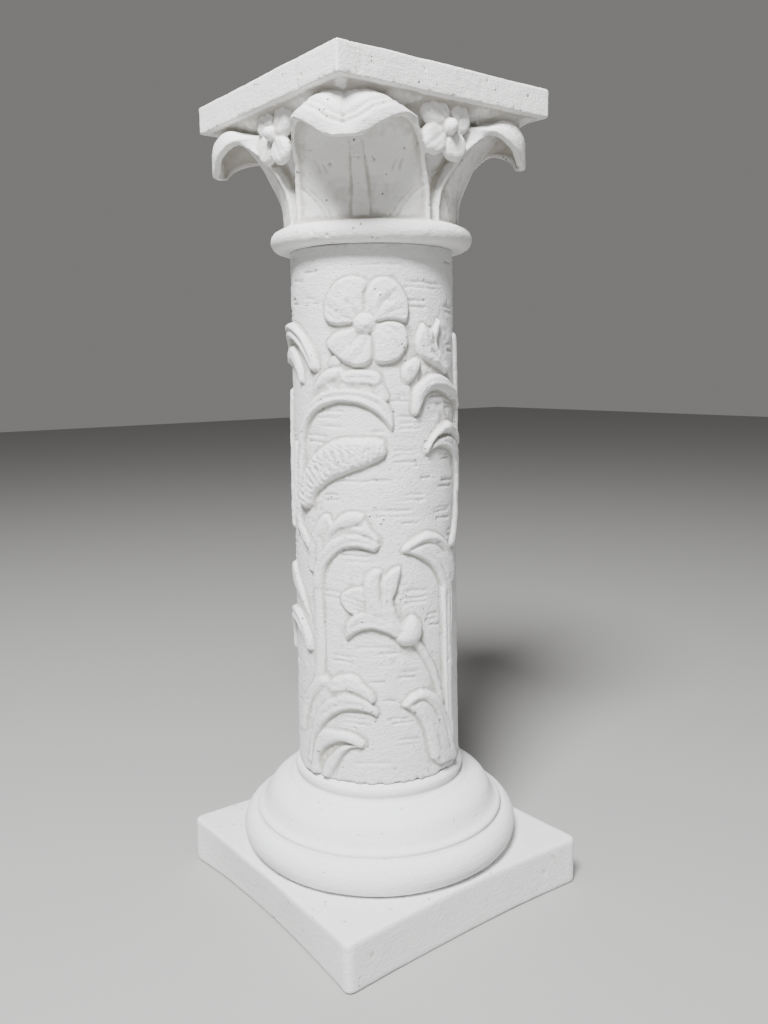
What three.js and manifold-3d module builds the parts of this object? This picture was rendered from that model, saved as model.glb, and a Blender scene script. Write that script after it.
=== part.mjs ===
// A cast plaster column for a room: square plinth, moulded round base, shaft with a floral relief,
// and a leaf capital under a square abacus. Millimetres, +Z up, standing on its underside.
// The four castings are four solids, stacked with a hair of clearance at each joint.

import * as THREE from "three";
import { mergeVertices } from "three/addons/utils/BufferGeometryUtils.js";
import Module from "manifold-3d";

const wasm = await Module();
wasm.setup();

// Driving dimensions
const totalHeight = 800;
const plinthSide = 299.5;
const plinthHeight = 50.1;
const baseHeight = 88.7;
const abacusSide = 241.3;
const abacusThickness = 25.8;
const shaftFootRadius = 84.8;
const shaftTopRadius = 79.5;
const ringUnderside = 655.4;
const ringTubeRadius = 10;
const ringRadius = 98.4;
const jointGap = 0.3;

// Heights that follow from them
const baseTop = plinthHeight + baseHeight;
const abacusUnderside = totalHeight - abacusThickness;
const neckHeight = ringUnderside + 2 * ringTubeRadius;

// The way that the middle of the relief faces, and the first corner leaf, cast a little askew
const reliefFacing = -126.7;
const leafFacing = -132.8;
const roundSides = 32;

const radians = THREE.MathUtils.degToRad;
const mix = THREE.MathUtils.lerp;

// Geometry helpers

// Welds a geometry's shared corners and drops the flat triangles that meet the axis.
function weld(geometry) {
  geometry.deleteAttribute("normal");
  geometry.deleteAttribute("uv");
  const welded = mergeVertices(geometry, 1e-4);
  const corners = welded.index.array;
  const kept = [];
  for (let i = 0; i < corners.length; i += 3) {
    const [a, b, c] = [corners[i], corners[i + 1], corners[i + 2]];
    if (a !== b && b !== c && c !== a) {
      kept.push(a, b, c);
    }
  }
  welded.setIndex(kept);
  return welded;
}

// Volume inside a closed geometry, negative where its faces point in.
function signedVolume(geometry) {
  const place = geometry.getAttribute("position");
  const corners = geometry.index.array;
  const [a, b, c] = [new THREE.Vector3(), new THREE.Vector3(), new THREE.Vector3()];
  let total = 0;
  for (let i = 0; i < corners.length; i += 3) {
    a.fromBufferAttribute(place, corners[i]);
    b.fromBufferAttribute(place, corners[i + 1]);
    c.fromBufferAttribute(place, corners[i + 2]);
    total += a.dot(b.cross(c)) / 6;
  }
  return total;
}

// Closed body through a stack of loops with the same number of points, with a fan over each end.
function skin(loops) {
  const count = loops[0].length;
  const points = loops.flat();
  const corners = [];
  for (let row = 0; row < loops.length - 1; row += 1) {
    for (let i = 0; i < count; i += 1) {
      const next = (i + 1) % count;
      const low = row * count;
      const high = low + count;
      corners.push(low + i, low + next, high + next, low + i, high + next, high + i);
    }
  }
  for (const row of [0, loops.length - 1]) {
    const middle = new THREE.Vector3();
    loops[row].forEach((point) => middle.addScaledVector(point, 1 / count));
    points.push(middle);
    for (let i = 0; i < count; i += 1) {
      const pair = [row * count + i, row * count + ((i + 1) % count)];
      corners.push(points.length - 1, ...(row === 0 ? pair.reverse() : pair));
    }
  }
  const geometry = new THREE.BufferGeometry().setFromPoints(points);
  geometry.setIndex(corners);
  if (signedVolume(geometry) < 0) {
    geometry.setIndex(corners.reverse());
  }
  return geometry;
}

// Round body from a profile of [radius, height] points that starts and ends on the axis.
function turned(profile) {
  const outline = profile.map(([radius, height]) => new THREE.Vector2(radius, height));
  const geometry = weld(new THREE.LatheGeometry(outline, roundSides).rotateX(Math.PI / 2));
  if (signedVolume(geometry) < 0) {
    geometry.setIndex(Array.from(geometry.index.array).reverse());
  }
  return geometry;
}

// Points on a quarter or longer arc of an ellipse in a profile, from one angle to another.
function arc(radius, height, reach, rise, from, to, steps) {
  const points = [];
  for (let i = 0; i <= steps; i += 1) {
    const angle = radians(mix(from, to, i / steps));
    points.push([radius + reach * Math.cos(angle), height + rise * Math.sin(angle)]);
  }
  return points;
}

// Joins closed geometries that overlap into one body.
function fuse(geometries) {
  const solids = geometries.map((geometry) => new wasm.Manifold(new wasm.Mesh({
    numProp: 3,
    vertProperties: new Float32Array(geometry.getAttribute("position").array),
    triVerts: new Uint32Array(geometry.index.array),
  })));
  const joined = solids.reduce((sum, solid) => sum.add(solid)).getMesh();
  const geometry = new THREE.BufferGeometry();
  geometry.setAttribute("position", new THREE.BufferAttribute(joined.vertProperties, 3));
  geometry.setIndex(Array.from(joined.triVerts));
  return geometry;
}

// Copies of a geometry turned about the column's axis by each angle.
function turnedCopies(geometry, angles) {
  return angles.map((angle) => geometry.clone().rotateZ(radians(angle)));
}

// Plinth

// Sag of each side's middle towards the axis, at the foot and at the top of the plinth.
const sideSags = [
  { foot: 5.5, top: 5.5 },
  { foot: 4.5, top: 4 },
  { foot: 4.5, top: 4 },
  { foot: 9, top: 2 },
];
const plinthCornerRadius = 9;
const plinthSideSteps = 4;
const plinthCornerSteps = 3;

// Outline of the plinth at a share of its height, drawn in by an inset.
function plinthLoop(share, inset) {
  const height = share * plinthHeight;
  const half = plinthSide / 2 - inset;
  const straight = half - plinthCornerRadius;
  const loop = [];
  sideSags.forEach((sag, side) => {
    const depth = mix(sag.foot, sag.top, share);
    const turn = radians(90 * side);
    const place = (along, out) => new THREE.Vector3(along, -out, height)
      .applyAxisAngle(new THREE.Vector3(0, 0, 1), turn);
    for (let i = 0; i <= plinthSideSteps; i += 1) {
      const along = mix(-1, 1, i / plinthSideSteps);
      loop.push(place(along * straight, half - depth * (1 - along * along)));
    }
    for (let i = 1; i < plinthCornerSteps; i += 1) {
      const angle = radians(mix(90, 0, i / plinthCornerSteps));
      loop.push(place(
        straight + plinthCornerRadius * Math.cos(angle),
        straight + plinthCornerRadius * Math.sin(angle),
      ));
    }
  });
  return loop;
}

function plinth() {
  return skin([
    plinthLoop(0, 2),
    plinthLoop(0.04, 0.3),
    plinthLoop(0.5, 0.6),
    plinthLoop(0.94, 1),
    plinthLoop(0.985, 2.5),
    plinthLoop(1, 6),
  ]);
}

// Round base

const torusRadius = 145;
const torusHeight = 67.5;

function roundBase() {
  return turned([
    [0, plinthHeight + jointGap],
    ...arc(torusRadius - 15, torusHeight, 15, 17.4, -80, 88, 5),
    [130.4, 87.6],
    [123.5, 93.3],
    [118.6, 100],
    [113.6, 109.6],
    [105.5, 115.6],
    [93.4, 120.2],
    [86.2, 124.5],
    [88.8, 131],
    [85.4, baseTop],
    [0, baseTop],
  ]);
}

// Shaft relief

// Radius of the plain shaft at a height.
function shaftRadius(height) {
  return mix(shaftFootRadius, shaftTopRadius, (height - baseTop) / (ringUnderside - baseTop));
}

// Point over the shaft: millimetres round it from the middle of the relief, height and lift.
const middleRadius = (shaftFootRadius + shaftTopRadius) / 2;
function overShaft(around, height, lift) {
  const angle = around / middleRadius + radians(reliefFacing);
  const radius = shaftRadius(height) + lift;
  return new THREE.Vector3(radius * Math.cos(angle), radius * Math.sin(angle), height);
}

// Millimetres round the shaft at an angle from the middle of the relief.
const round = (angle) => radians(angle) * middleRadius;
const buried = -3;

// Section through a stem: places from its middle in half widths, and shares of its lift.
const stemSection = [[-1.12, 0], [-0.64, 1], [0.64, 1], [1.12, 0]];

// A raised stem of even width along a path of [angle, height] points.
function stem(path, width, lift, steps = 3) {
  const spine = new THREE.SplineCurve(path.map(([angle, height]) => (
    new THREE.Vector2(round(angle), height))));
  const loops = [];
  for (let i = 0; i <= steps; i += 1) {
    const centre = spine.getPointAt(i / steps);
    const across = spine.getTangentAt(i / steps).rotateAround(new THREE.Vector2(), Math.PI / 2);
    loops.push(stemSection.map(([side, up]) => overShaft(
      centre.x + across.x * side * width / 2,
      centre.y + across.y * side * width / 2,
      up > 0 ? lift : buried,
    )));
  }
  return skin(loops);
}

// Width of the slope round the edge of a raised form, and the most of the form that it may take.
const edgeSlope = 3.6;
const mostSlope = 0.34;

// A raised leaf or lobe between two edges, each a path of [angle, height] points from root to tip.
// A crest lifts the line down its middle by that many millimetres more.
function blade(edges, lift, { steps = 5, crest = 0 } = {}) {
  const [left, right] = edges.map((edge) => new THREE.SplineCurve(edge.map(([angle, height]) => (
    new THREE.Vector2(round(angle), height)))));
  const loops = [];
  for (let i = 0; i <= steps; i += 1) {
    const from = left.getPointAt(i / steps);
    const to = right.getPointAt(i / steps);
    const slope = Math.min(mostSlope, edgeSlope / from.distanceTo(to));
    const outside = -0.5 * slope;
    const middle = crest > 0 ? [[0.5, lift + crest]] : [];
    const section = [[outside, buried], [slope, lift], ...middle, [1 - slope, lift],
      [1 - outside, buried]];
    loops.push(section.map(([share, up]) => overShaft(
      mix(from.x, to.x, share),
      mix(from.y, to.y, share),
      up,
    )));
  }
  return skin(loops);
}

// How a pad rises from its outline to its middle: shares of its size, and of its lift.
const padLayers = [[0.84, 0.85], [0.55, 1]];

// A raised pad inside an outline of [angle, height] points round a middle.
function pad([angle, height], outline, lift) {
  const layers = [[1.06, buried], ...padLayers.map(([size, up]) => [size, up * lift])];
  return skin(layers.map(([size, up]) => outline.map(([around, level]) => overShaft(
    round(mix(angle, around, size)),
    mix(height, level, size),
    up,
  ))));
}

// Outline of a round boss or bud.
function oval([angle, height], halfWidth, halfHeight, sides = 8) {
  return Array.from({ length: sides }, (_, i) => {
    const turn = (i / sides) * 2 * Math.PI;
    const reach = THREE.MathUtils.radToDeg(halfWidth / middleRadius);
    return [angle + reach * Math.cos(turn), height + halfHeight * Math.sin(turn)];
  });
}

// The open flower near the top: four broad petals round a boss.
function flower() {
  const heart = [-5.2, 584.5];
  return [
    pad([-18, 604], [[-6, 587], [-5.4, 603], [-3.5, 618], [-9.4, 626], [-20.9, 624], [-30, 613],
      [-33, 598], [-28, 585], [-17, 583.5]], 5.4),
    pad([9, 604], [[-4.5, 588], [-4.5, 604], [-1, 619], [8, 625.5], [18, 619], [23.5, 604],
      [22.5, 587], [10, 586]], 5.8),
    pad([10, 567], [[-2, 581], [9, 586], [19, 583.5], [23.5, 570], [19.5, 556], [9, 548],
      [1, 551], [0, 567]], 5.6),
    pad([-14, 563], [[-6, 578], [-0.5, 566], [-1, 551], [-9.4, 545.5], [-21, 551.5],
      [-31, 565], [-26, 576], [-14, 581]], 5.9),
    pad(heart, oval(heart, 11.4, 10.8), 9.5),
  ];
}

function longArch() {
  return [
    blade([
      [[-60.5, 473], [-54, 499], [-40.5, 518], [-23, 526], [-7, 524.6], [5.5, 516.7],
        [12.2, 501.7], [12.4, 488]],
      [[-55.5, 470], [-49.7, 491.7], [-37, 507.5], [-21, 513.3], [-4.8, 508], [4, 499],
        [11, 487]],
    ], 5.4, { steps: 6 }),
    stem([[-57.5, 480], [-60, 445], [-63, 410]], 10, 4, 2),
  ];
}

function catkin() {
  return blade([
    [[-59.8, 416], [-56, 437], [-45, 462], [-28, 477.5], [-10, 480.3], [5, 478.5], [8, 470]],
    [[-53, 410.5], [-42.8, 424.5], [-30, 438.7], [-15, 448.3], [0, 456.7], [6, 462]],
  ], 6, { steps: 4, crest: 1.4 });
}

// Below the flower: two lobes over a long arched leaf, stems, and a fat catkin.
function upperSpray() {
  return [
    blade([
      [[-57, 490], [-42, 526], [-28, 542], [-5, 541], [7, 524]],
      [[-52, 486], [-40, 506], [-20, 514], [0, 512], [9, 506]],
    ], 3.4, { steps: 4 }),
    blade([
      [[-57, 497], [-46, 520], [-37, 538.3], [-25.5, 545], [-20.6, 542]],
      [[-53, 496], [-44, 516], [-32, 528.6], [-21.5, 537]],
    ], 5.6, { steps: 4 }),
    pad([-8, 535.5], [[-21, 535.5], [-17, 541], [-7, 542.5], [2, 540], [5.4, 535], [3, 528.5],
      [-7, 529], [-18, 530]], 5.6),
    ...longArch(),
    catkin(),
    stem([[-62, 415], [-64, 396], [-47, 370]], 11, 3.8),
  ];
}

// Right of the flower: a tulip bud, a lump, a hooked leaf and a sickle leaf in two parts.
function rightSpray() {
  return [
    blade([
      [[34.9, 584.6], [29.7, 571.7], [30.8, 558], [42, 547], [58, 538]],
      [[42, 579.5], [40, 572], [44, 562], [52, 556], [60, 546]],
    ], 4.6),
    blade([
      [[50.6, 590], [45, 584], [42, 577], [41, 562]],
      [[51, 585], [48.4, 574], [47, 568], [47, 560]],
    ], 4.6, { steps: 3 }),
    pad([26, 541.5], [[18.6, 540], [21, 547.5], [29, 553], [32.6, 547], [28, 535],
      [22.6, 529.5]], 4.8),
    blade([
      [[80, 503], [70, 524], [53, 536.5], [40, 536.9], [29.7, 528.3], [25.4, 513.3],
        [25.8, 500.5]],
      [[76, 504], [65.4, 514], [50.4, 522], [38.9, 520], [33, 510], [29.3, 499.8]],
    ], 5.8),
    blade([
      [[81, 476], [67, 488.6], [55, 491.7], [42.3, 481.7], [35, 469], [36, 463]],
      [[80, 466], [66, 477], [55, 480.8], [43.5, 475], [38, 465]],
    ], 5.6),
    blade([
      [[82, 424], [80, 462], [67, 476.4], [53, 478.2], [41, 470], [37, 463]],
      [[74, 420], [71, 446.7], [61.9, 464], [48, 468.8], [37.4, 462]],
    ], 4.6, { steps: 4 }),
    stem([[79, 572], [79, 470], [77, 425], [66, 372]], 12, 4.3),
  ];
}

function middleArch() {
  return [
    blade([
      [[-46.6, 330], [-45, 351.7], [-36, 375], [-22, 388], [-9.4, 389], [2.8, 379.5]],
      [[-39.2, 335], [-34.8, 356], [-24.4, 372.2], [-11.7, 376.6], [-0.2, 373]],
    ], 5.4),
    stem([[-43, 342], [-41.8, 280], [-45, 232]], 12.5, 4.2, 2),
  ];
}

// Left of the middle: three lobes over an arched leaf on its long stem.
function middleSpray() {
  return [
    blade([
      [[-51, 356], [-46, 392], [-30, 403], [-8, 406], [1, 387]],
      [[-43, 352], [-30, 376], [-14, 384], [0, 383]],
    ], 3.4, { steps: 4 }),
    blade([
      [[-50.3, 364], [-45, 391.7], [-38, 405], [-32, 406]],
      [[-44.5, 369], [-36, 390], [-31.4, 402]],
    ], 4.8, { steps: 3 }),
    blade([
      [[-36, 379], [-30, 396], [-21, 408.3], [-9.4, 409.6], [-7, 406]],
      [[-32.5, 382], [-25, 391.5], [-15, 396.2], [-8, 400]],
    ], 5.8, { steps: 4 }),
    ...middleArch(),
  ];
}

// Right of the middle: a broad sickle leaf on a flat stem that runs down to the base.
function sickleSpray() {
  return [
    blade([
      [[65, 335], [65, 348], [59.6, 369], [48, 382.7], [36.6, 388.5], [25, 383.3], [17, 372.6]],
      [[49, 331], [42.3, 348.6], [30.8, 363], [20.3, 369.4], [17.4, 370.4]],
    ], 5.2),
    stem([[55, 336], [55, 245], [56, 156]], 18, 4.8, 2),
  ];
}

// The lily in the middle: two upright petals, a fan, a curled petal and a bud on a thin stem.
function lily() {
  const bud = [21, 293];
  return [
    blade([
      [[-6.6, 312], [-8.6, 336], [-5.4, 351], [-0.6, 355.8]],
      [[6, 310], [2.5, 335], [3.6, 353]],
    ], 5.5, { steps: 4 }),
    blade([
      [[3, 312], [3.4, 342], [8, 352], [14.8, 357.4]],
      [[12, 312], [12, 331], [16.4, 354]],
    ], 5.3, { steps: 4 }),
    pad([-14, 323], [[-8, 338], [-20.9, 333.5], [-25, 325], [-20, 313.3], [-10, 309],
      [-5, 322]], 3.8),
    pad([8, 306], [[-6.6, 318], [3, 322], [10.4, 322], [16, 302], [21, 294], [16, 286],
      [5, 297], [-2, 308]], 4.6),
    blade([
      [[14, 293], [12, 301], [0, 311], [-11.7, 313.6], [-20, 301.7], [-20.8, 287]],
      [[11.3, 288.2], [2, 295.2], [-9.4, 296], [-16, 291.6], [-20, 285.6]],
    ], 5.8, { steps: 4 }),
    pad(bud, oval(bud, 13.4, 15), 9.2),
    stem([[27, 281], [37, 258], [48, 214]], 8, 3.4),
  ];
}

function lowerArch() {
  return blade([
    [[-54, 150], [-50, 186], [-38.6, 218], [-21, 231.6], [-6, 225], [0.2, 212]],
    [[-50, 150], [-43, 187], [-30.2, 207.8], [-16.3, 216.2], [-1, 209.6]],
  ], 5.4);
}

// Above the base on the left: lobes over an arched leaf, and a hooked leaf in two blades.
function lowerSpray() {
  return [
    blade([
      [[-67, 150], [-62, 200], [-48, 234], [-24, 248], [-7, 238]],
      [[-44, 150], [-46, 182], [-34, 212], [-18, 222], [-7, 228]],
    ], 3.4, { steps: 4 }),
    blade([
      [[-66, 180], [-61.6, 207], [-51, 233.5], [-39.4, 246.4], [-35, 244]],
      [[-57, 182], [-50, 211], [-38.6, 232.4], [-34.4, 239.6]],
    ], 5.4, { steps: 4 }),
    blade([
      [[-34.8, 236], [-26.7, 248.8], [-12.7, 248.8], [-3, 235], [-1.4, 227]],
      [[-32, 230], [-18.6, 234], [-8, 227], [-3.6, 223.4]],
    ], 5.6, { steps: 4 }),
    lowerArch(),
    blade([
      [[-51, 142], [-48.6, 165], [-40, 189], [-26, 192.6], [-14, 189.4], [-9.2, 182.6]],
      [[-44.5, 142], [-39.4, 168], [-29, 179.8], [-16, 179.4], [-10.6, 177.6]],
    ], 5.8),
    blade([
      [[-40.6, 142], [-36, 161], [-24.4, 176.5], [-12, 179]],
      [[-35, 142], [-27, 160], [-20, 174.5], [-12, 177.6]],
    ], 5, { steps: 4 }),
  ];
}

// Above the base on the right: a broad drooping leaf beside the stem.
function broadLeaf() {
  return blade([
    [[64, 148], [59, 171], [52, 201], [43.5, 222], [29.7, 232.2], [16.2, 220.4]],
    [[45.8, 148.4], [36, 166], [32.7, 186.7], [25, 208], [16.4, 217.6]],
  ], 5.2, { steps: 4 });
}

// Arched leaves that reach in from the far side on the left, and their stem.
function farLeaves() {
  return [
    blade([
      [[-112, 545], [-102, 574], [-82, 589], [-62, 585.6], [-47, 570], [-38.8, 546]],
      [[-102, 545], [-94, 566], [-78, 573.4], [-62, 568], [-50, 553], [-42.8, 541]],
    ], 6.2),
    blade([
      [[-92, 556], [-75, 566.4], [-60.6, 555], [-54, 532]],
      [[-86, 548], [-74, 552], [-64, 544], [-57.6, 530.6]],
    ], 4.6, { steps: 4 }),
    blade([
      [[-110, 250], [-98, 287], [-78, 306], [-60, 299], [-49.4, 269]],
      [[-96, 250], [-88, 279], [-76, 290], [-64, 285], [-54.4, 267]],
    ], 5.8),
    stem([[-108, 556], [-107, 400], [-103, 258]], 13, 4.8, 2),
  ];
}

// The far side repeats the main sprays half a turn on, without the lobes and small leaves.
function farSide() {
  const repeated = [
    ...flower(),
    ...longArch(),
    catkin(),
    ...middleArch(),
    ...sickleSpray(),
    lowerArch(),
    broadLeaf(),
  ];
  return repeated.flatMap((geometry) => turnedCopies(geometry, [180]));
}

function shaft() {
  const foot = baseTop + jointGap;
  const core = turned([
    [0, foot],
    [shaftRadius(foot), foot],
    [shaftRadius(ringUnderside), ringUnderside],
    [0, ringUnderside],
  ]);
  return fuse([
    core,
    ...flower(),
    ...upperSpray(),
    ...rightSpray(),
    ...middleSpray(),
    ...sickleSpray(),
    ...lily(),
    ...lowerSpray(),
    broadLeaf(),
    ...farLeaves(),
    ...farSide(),
  ]);
}

// Capital

// Ring and bell, turned in one, running up into the abacus.
function bell() {
  const tubeRadius = ringRadius - ringTubeRadius;
  const underside = ringUnderside + jointGap;
  return turned([
    [0, underside],
    ...arc(tubeRadius, ringUnderside + ringTubeRadius, ringTubeRadius, ringTubeRadius - jointGap,
      -90, 110, 6),
    [83, neckHeight + 4],
    [82, 700],
    [86, 720],
    [96, 743],
    [106, 765],
    [109, abacusUnderside + 1],
    [0, abacusUnderside + 1],
  ]);
}

// The abacus: a square slab with a small worn edge.
function abacus() {
  const edge = 1.5;
  const loop = (half, height) => [[-1, -1], [1, -1], [1, 1], [-1, 1]].map(([x, y]) => (
    new THREE.Vector3(x * half, y * half, height)));
  return skin([
    loop(abacusSide / 2 - edge, abacusUnderside),
    loop(abacusSide / 2, abacusUnderside + edge),
    loop(abacusSide / 2, totalHeight - edge),
    loop(abacusSide / 2 - edge, totalHeight),
  ]);
}

// A corner leaf is a scoop that rises from the ring, leans out and curls down at its tip.
// Its middle and its rim are curves out from the axis, across, and up.
const leafMiddle = new THREE.CatmullRomCurve3([
  new THREE.Vector3(84, 0, 672),
  new THREE.Vector3(86, 0, 700),
  new THREE.Vector3(97, 0, 724),
  new THREE.Vector3(112, 0, 748),
  new THREE.Vector3(131, 0, 764),
  new THREE.Vector3(146, 0, 755),
  new THREE.Vector3(148.5, 0, 730),
]);
const leafRim = new THREE.CatmullRomCurve3([
  new THREE.Vector3(65, 60, 672),
  new THREE.Vector3(68, 60, 700),
  new THREE.Vector3(79, 58, 722),
  new THREE.Vector3(97, 57, 741),
  new THREE.Vector3(119, 48, 752),
  new THREE.Vector3(139, 31, 744),
  new THREE.Vector3(147, 14, 732),
]);
const leafSteps = 10;
const leafSides = 6;
const hoodStart = 0.45;

// Point on the scoop's front: share along it, and side from -1 to 1 across it.
function scoop(share, side) {
  const middle = leafMiddle.getPoint(share);
  const rim = leafRim.getPoint(share);
  const bend = Math.abs(side) ** mix(2, 2.8, share);
  return new THREE.Vector3(
    mix(middle.x, rim.x, bend),
    rim.y * side,
    mix(middle.z, rim.z, bend),
  );
}

// The scoop's back: behind the front by a wall that is deep where the leaf grows out of the bell.
function scoopBack(share, side) {
  const step = 0.01;
  const along = scoop(Math.min(share + step, 1), side).sub(scoop(Math.max(share - step, 0), side));
  const over = scoop(share, side + step).sub(scoop(share, side - step));
  const inward = over.cross(along).normalize();
  const hood = THREE.MathUtils.smoothstep(share, hoodStart, hoodStart + 0.2);
  const wall = mix(22, 8 - 2.5 * side * side, hood);
  return scoop(share, side).addScaledVector(inward, -wall);
}

// Each leaf of the capital: its turn about the axis, the lean of its tip, and its reach.
const cornerLeaves = [
  { turn: 0, lean: 5, reach: 1 },
  { turn: 90, lean: 0, reach: 0.92 },
  { turn: 180, lean: 0, reach: 1 },
  { turn: 270, lean: 0, reach: 1 },
];

function cornerLeaf({ turn, lean, reach }) {
  const loops = [];
  const stretch = (share, point) => {
    point.x = mix(leafMiddle.points[0].x, point.x, point.x > leafMiddle.points[0].x ? reach : 1);
    point.y -= lean * THREE.MathUtils.smoothstep(share, 0.2, 1);
    return point;
  };
  for (let i = 0; i <= leafSteps; i += 1) {
    const share = i / leafSteps;
    const sides = Array.from({ length: leafSides + 1 }, (_, j) => mix(-1, 1, j / leafSides));
    loops.push([
      ...sides.map((side) => stretch(share, scoop(share, side))),
      ...sides.reverse().map((side) => stretch(share, scoopBack(share, side))),
    ]);
  }
  return skin(loops).rotateZ(radians(leafFacing + turn));
}

// A floret in the middle of a side: four petals round a boss, leaning on the bell.
const floretReach = 104;
const floretHeight = 753;
const floretRadius = 25;
const floretSides = 16;
const floretLayers = [[1, -6], [0.95, 6], [0.6, 10], [0.34, 6], [0.3, 14], [0.12, 17]];

function floret() {
  return skin(floretLayers.map(([size, out]) => Array.from({ length: floretSides }, (_, i) => {
    const turn = (i / floretSides) * 2 * Math.PI;
    const lobed = mix(0.55, 1, Math.abs(Math.sin(2 * turn)) ** 0.7);
    const radius = size * floretRadius * (size > 0.5 ? lobed : 1);
    return new THREE.Vector3(
      floretReach + out,
      radius * Math.cos(turn),
      floretHeight + radius * Math.sin(turn),
    );
  })));
}

function capital() {
  const quarters = [0, 90, 180, 270];
  const leaves = cornerLeaves.map(cornerLeaf);
  const florets = turnedCopies(floret(), quarters);
  return fuse([bell(), abacus(), ...leaves, ...florets]);
}

// Materials: the same white paint, a little warmer and duller where it has gathered dust
function plaster(color) {
  return new THREE.MeshStandardMaterial({ color, roughness: 0.85, metalness: 0 });
}

// The finished column
const pieces = [
  ["plinth", plinth(), 0xd9dcdd],
  ["round_base", roundBase(), 0xdfe3e6],
  ["shaft", shaft(), 0xd4d9db],
  ["capital", capital(), 0xd9dadb],
];
const column = new THREE.Group();
for (const [name, geometry, color] of pieces) {
  const piece = new THREE.Mesh(geometry, plaster(color));
  piece.name = name;
  column.add(piece);
}

export default column;
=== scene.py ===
import itertools
import math

import bmesh
import bpy
import numpy as np
from mathutils import Matrix, Vector


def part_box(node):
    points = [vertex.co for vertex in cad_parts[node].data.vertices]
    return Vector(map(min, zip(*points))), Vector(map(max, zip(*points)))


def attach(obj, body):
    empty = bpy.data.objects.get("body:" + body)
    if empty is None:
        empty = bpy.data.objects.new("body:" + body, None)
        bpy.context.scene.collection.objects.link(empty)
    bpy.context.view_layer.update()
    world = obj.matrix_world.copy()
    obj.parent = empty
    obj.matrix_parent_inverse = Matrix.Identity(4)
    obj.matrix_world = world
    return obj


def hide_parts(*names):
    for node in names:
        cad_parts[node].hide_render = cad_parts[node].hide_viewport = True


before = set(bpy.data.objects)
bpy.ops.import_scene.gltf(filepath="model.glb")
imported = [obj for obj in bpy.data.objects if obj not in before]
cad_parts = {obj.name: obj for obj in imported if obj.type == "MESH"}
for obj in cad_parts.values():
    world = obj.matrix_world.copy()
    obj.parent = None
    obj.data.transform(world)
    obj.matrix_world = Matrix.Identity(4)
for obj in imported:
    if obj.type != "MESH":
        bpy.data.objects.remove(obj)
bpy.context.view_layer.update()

# Plinth
# A square slab cast in one from plaster and painted white. Its corners and edges are worn round,
# and its sides sag in a little between the corners, as a thin mould lets them.

plinth_low, plinth_high = (Vector(corner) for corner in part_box("plinth"))
plinth_half = 0.1496
plinth_corner = 0.009
plinth_edge = 0.0032
plinth_voxel = 0.0019
# How far the middle of each side sags towards the axis, at the foot and at the top.
plinth_sags = {
    (0, -1): (0.0055, 0.0055),
    (1, 0): (0.0045, 0.004),
    (0, 1): (0.0045, 0.004),
    (-1, 0): (0.009, 0.002),
}


def to_object(name, bm):
    """Turns a finished bmesh into an object that stands at the origin."""
    mesh = bpy.data.meshes.new(name)
    bm.to_mesh(mesh)
    bm.free()
    piece = bpy.data.objects.new(name, mesh)
    bpy.context.collection.objects.link(piece)
    return piece


def settle(piece, kind, **values):
    """Adds one modifier to a piece and bakes its result into the mesh."""
    modifier = piece.modifiers.new(kind.title(), kind)
    for key, value in values.items():
        setattr(modifier, key, value)
    bpy.context.view_layer.update()
    shaped = piece.evaluated_get(bpy.context.evaluated_depsgraph_get())
    old = piece.data
    piece.data = bpy.data.meshes.new_from_object(shaped)
    piece.modifiers.clear()
    bpy.data.meshes.remove(old)


def places(mesh):
    """Every vertex of a mesh as a row of x, y, z."""
    flat = np.empty(len(mesh.vertices) * 3, dtype=np.float32)
    mesh.vertices.foreach_get("co", flat)
    return flat.reshape(-1, 3).astype(np.float64)


def normals(mesh):
    """Every vertex normal of a mesh as a row."""
    flat = np.empty(len(mesh.vertices) * 3, dtype=np.float32)
    mesh.vertex_normals.foreach_get("vector", flat)
    return flat.reshape(-1, 3).astype(np.float64)


def put_places(mesh, points):
    """Writes the vertices of a mesh back."""
    mesh.vertices.foreach_set("co", points.astype(np.float32).ravel())
    mesh.update()


def ease(share):
    """A share from 0 to 1 that starts and stops gently."""
    return share * share * (3 - 2 * share)


def lumps(points, size, seed):
    """Smooth noise from -1 to 1, with lumps about as wide as size, which may differ by axis."""
    cell = points / np.asarray(size) + seed * np.array([17.3, 5.1, 9.7])
    low = np.floor(cell)
    blend = ease(cell - low)
    total = np.zeros(len(points))
    for corner in itertools.product((0, 1), repeat=points.shape[1]):
        key = (low + corner) @ np.array([127.1, 311.7, 74.7])[:points.shape[1]]
        value = np.modf(np.abs(np.sin(key) * 43758.5453))[0] * 2 - 1
        weight = np.where(corner, blend, 1 - blend).prod(axis=1)
        total += value * weight
    return total


def neighbour_mean(mesh, values, passes):
    """Averages a row of numbers per vertex over its neighbours, passes times."""
    flat = np.empty(len(mesh.edges) * 2, dtype=np.int32)
    mesh.edges.foreach_get("vertices", flat)
    ends = np.concatenate([flat.reshape(-1, 2), flat.reshape(-1, 2)[:, ::-1]])
    count = len(mesh.vertices)
    links = np.bincount(ends[:, 0], minlength=count)
    for _ in range(passes):
        sums = [
            np.bincount(ends[:, 0], weights=column[ends[:, 1]], minlength=count)
            for column in values.T
        ]
        values = np.stack(sums, axis=1) / links[:, None]
    return values


def mark_hollows(piece, passes, depth):
    """Stores how deep each vertex lies in a crease, 0 to 1, as the attribute by which the paint lays
    painted shade into the folds.
    """
    mesh = piece.data
    points = places(mesh)
    mean = neighbour_mean(mesh, points, passes)
    sunk = ((mean - points) * normals(mesh)).sum(axis=1)
    hollow = np.clip(sunk / depth, -1, 1) * 0.5 + 0.5
    attribute = mesh.attributes.new("hollow", "FLOAT", "POINT")
    attribute.data.foreach_set("value", hollow.astype(np.float32))


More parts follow.
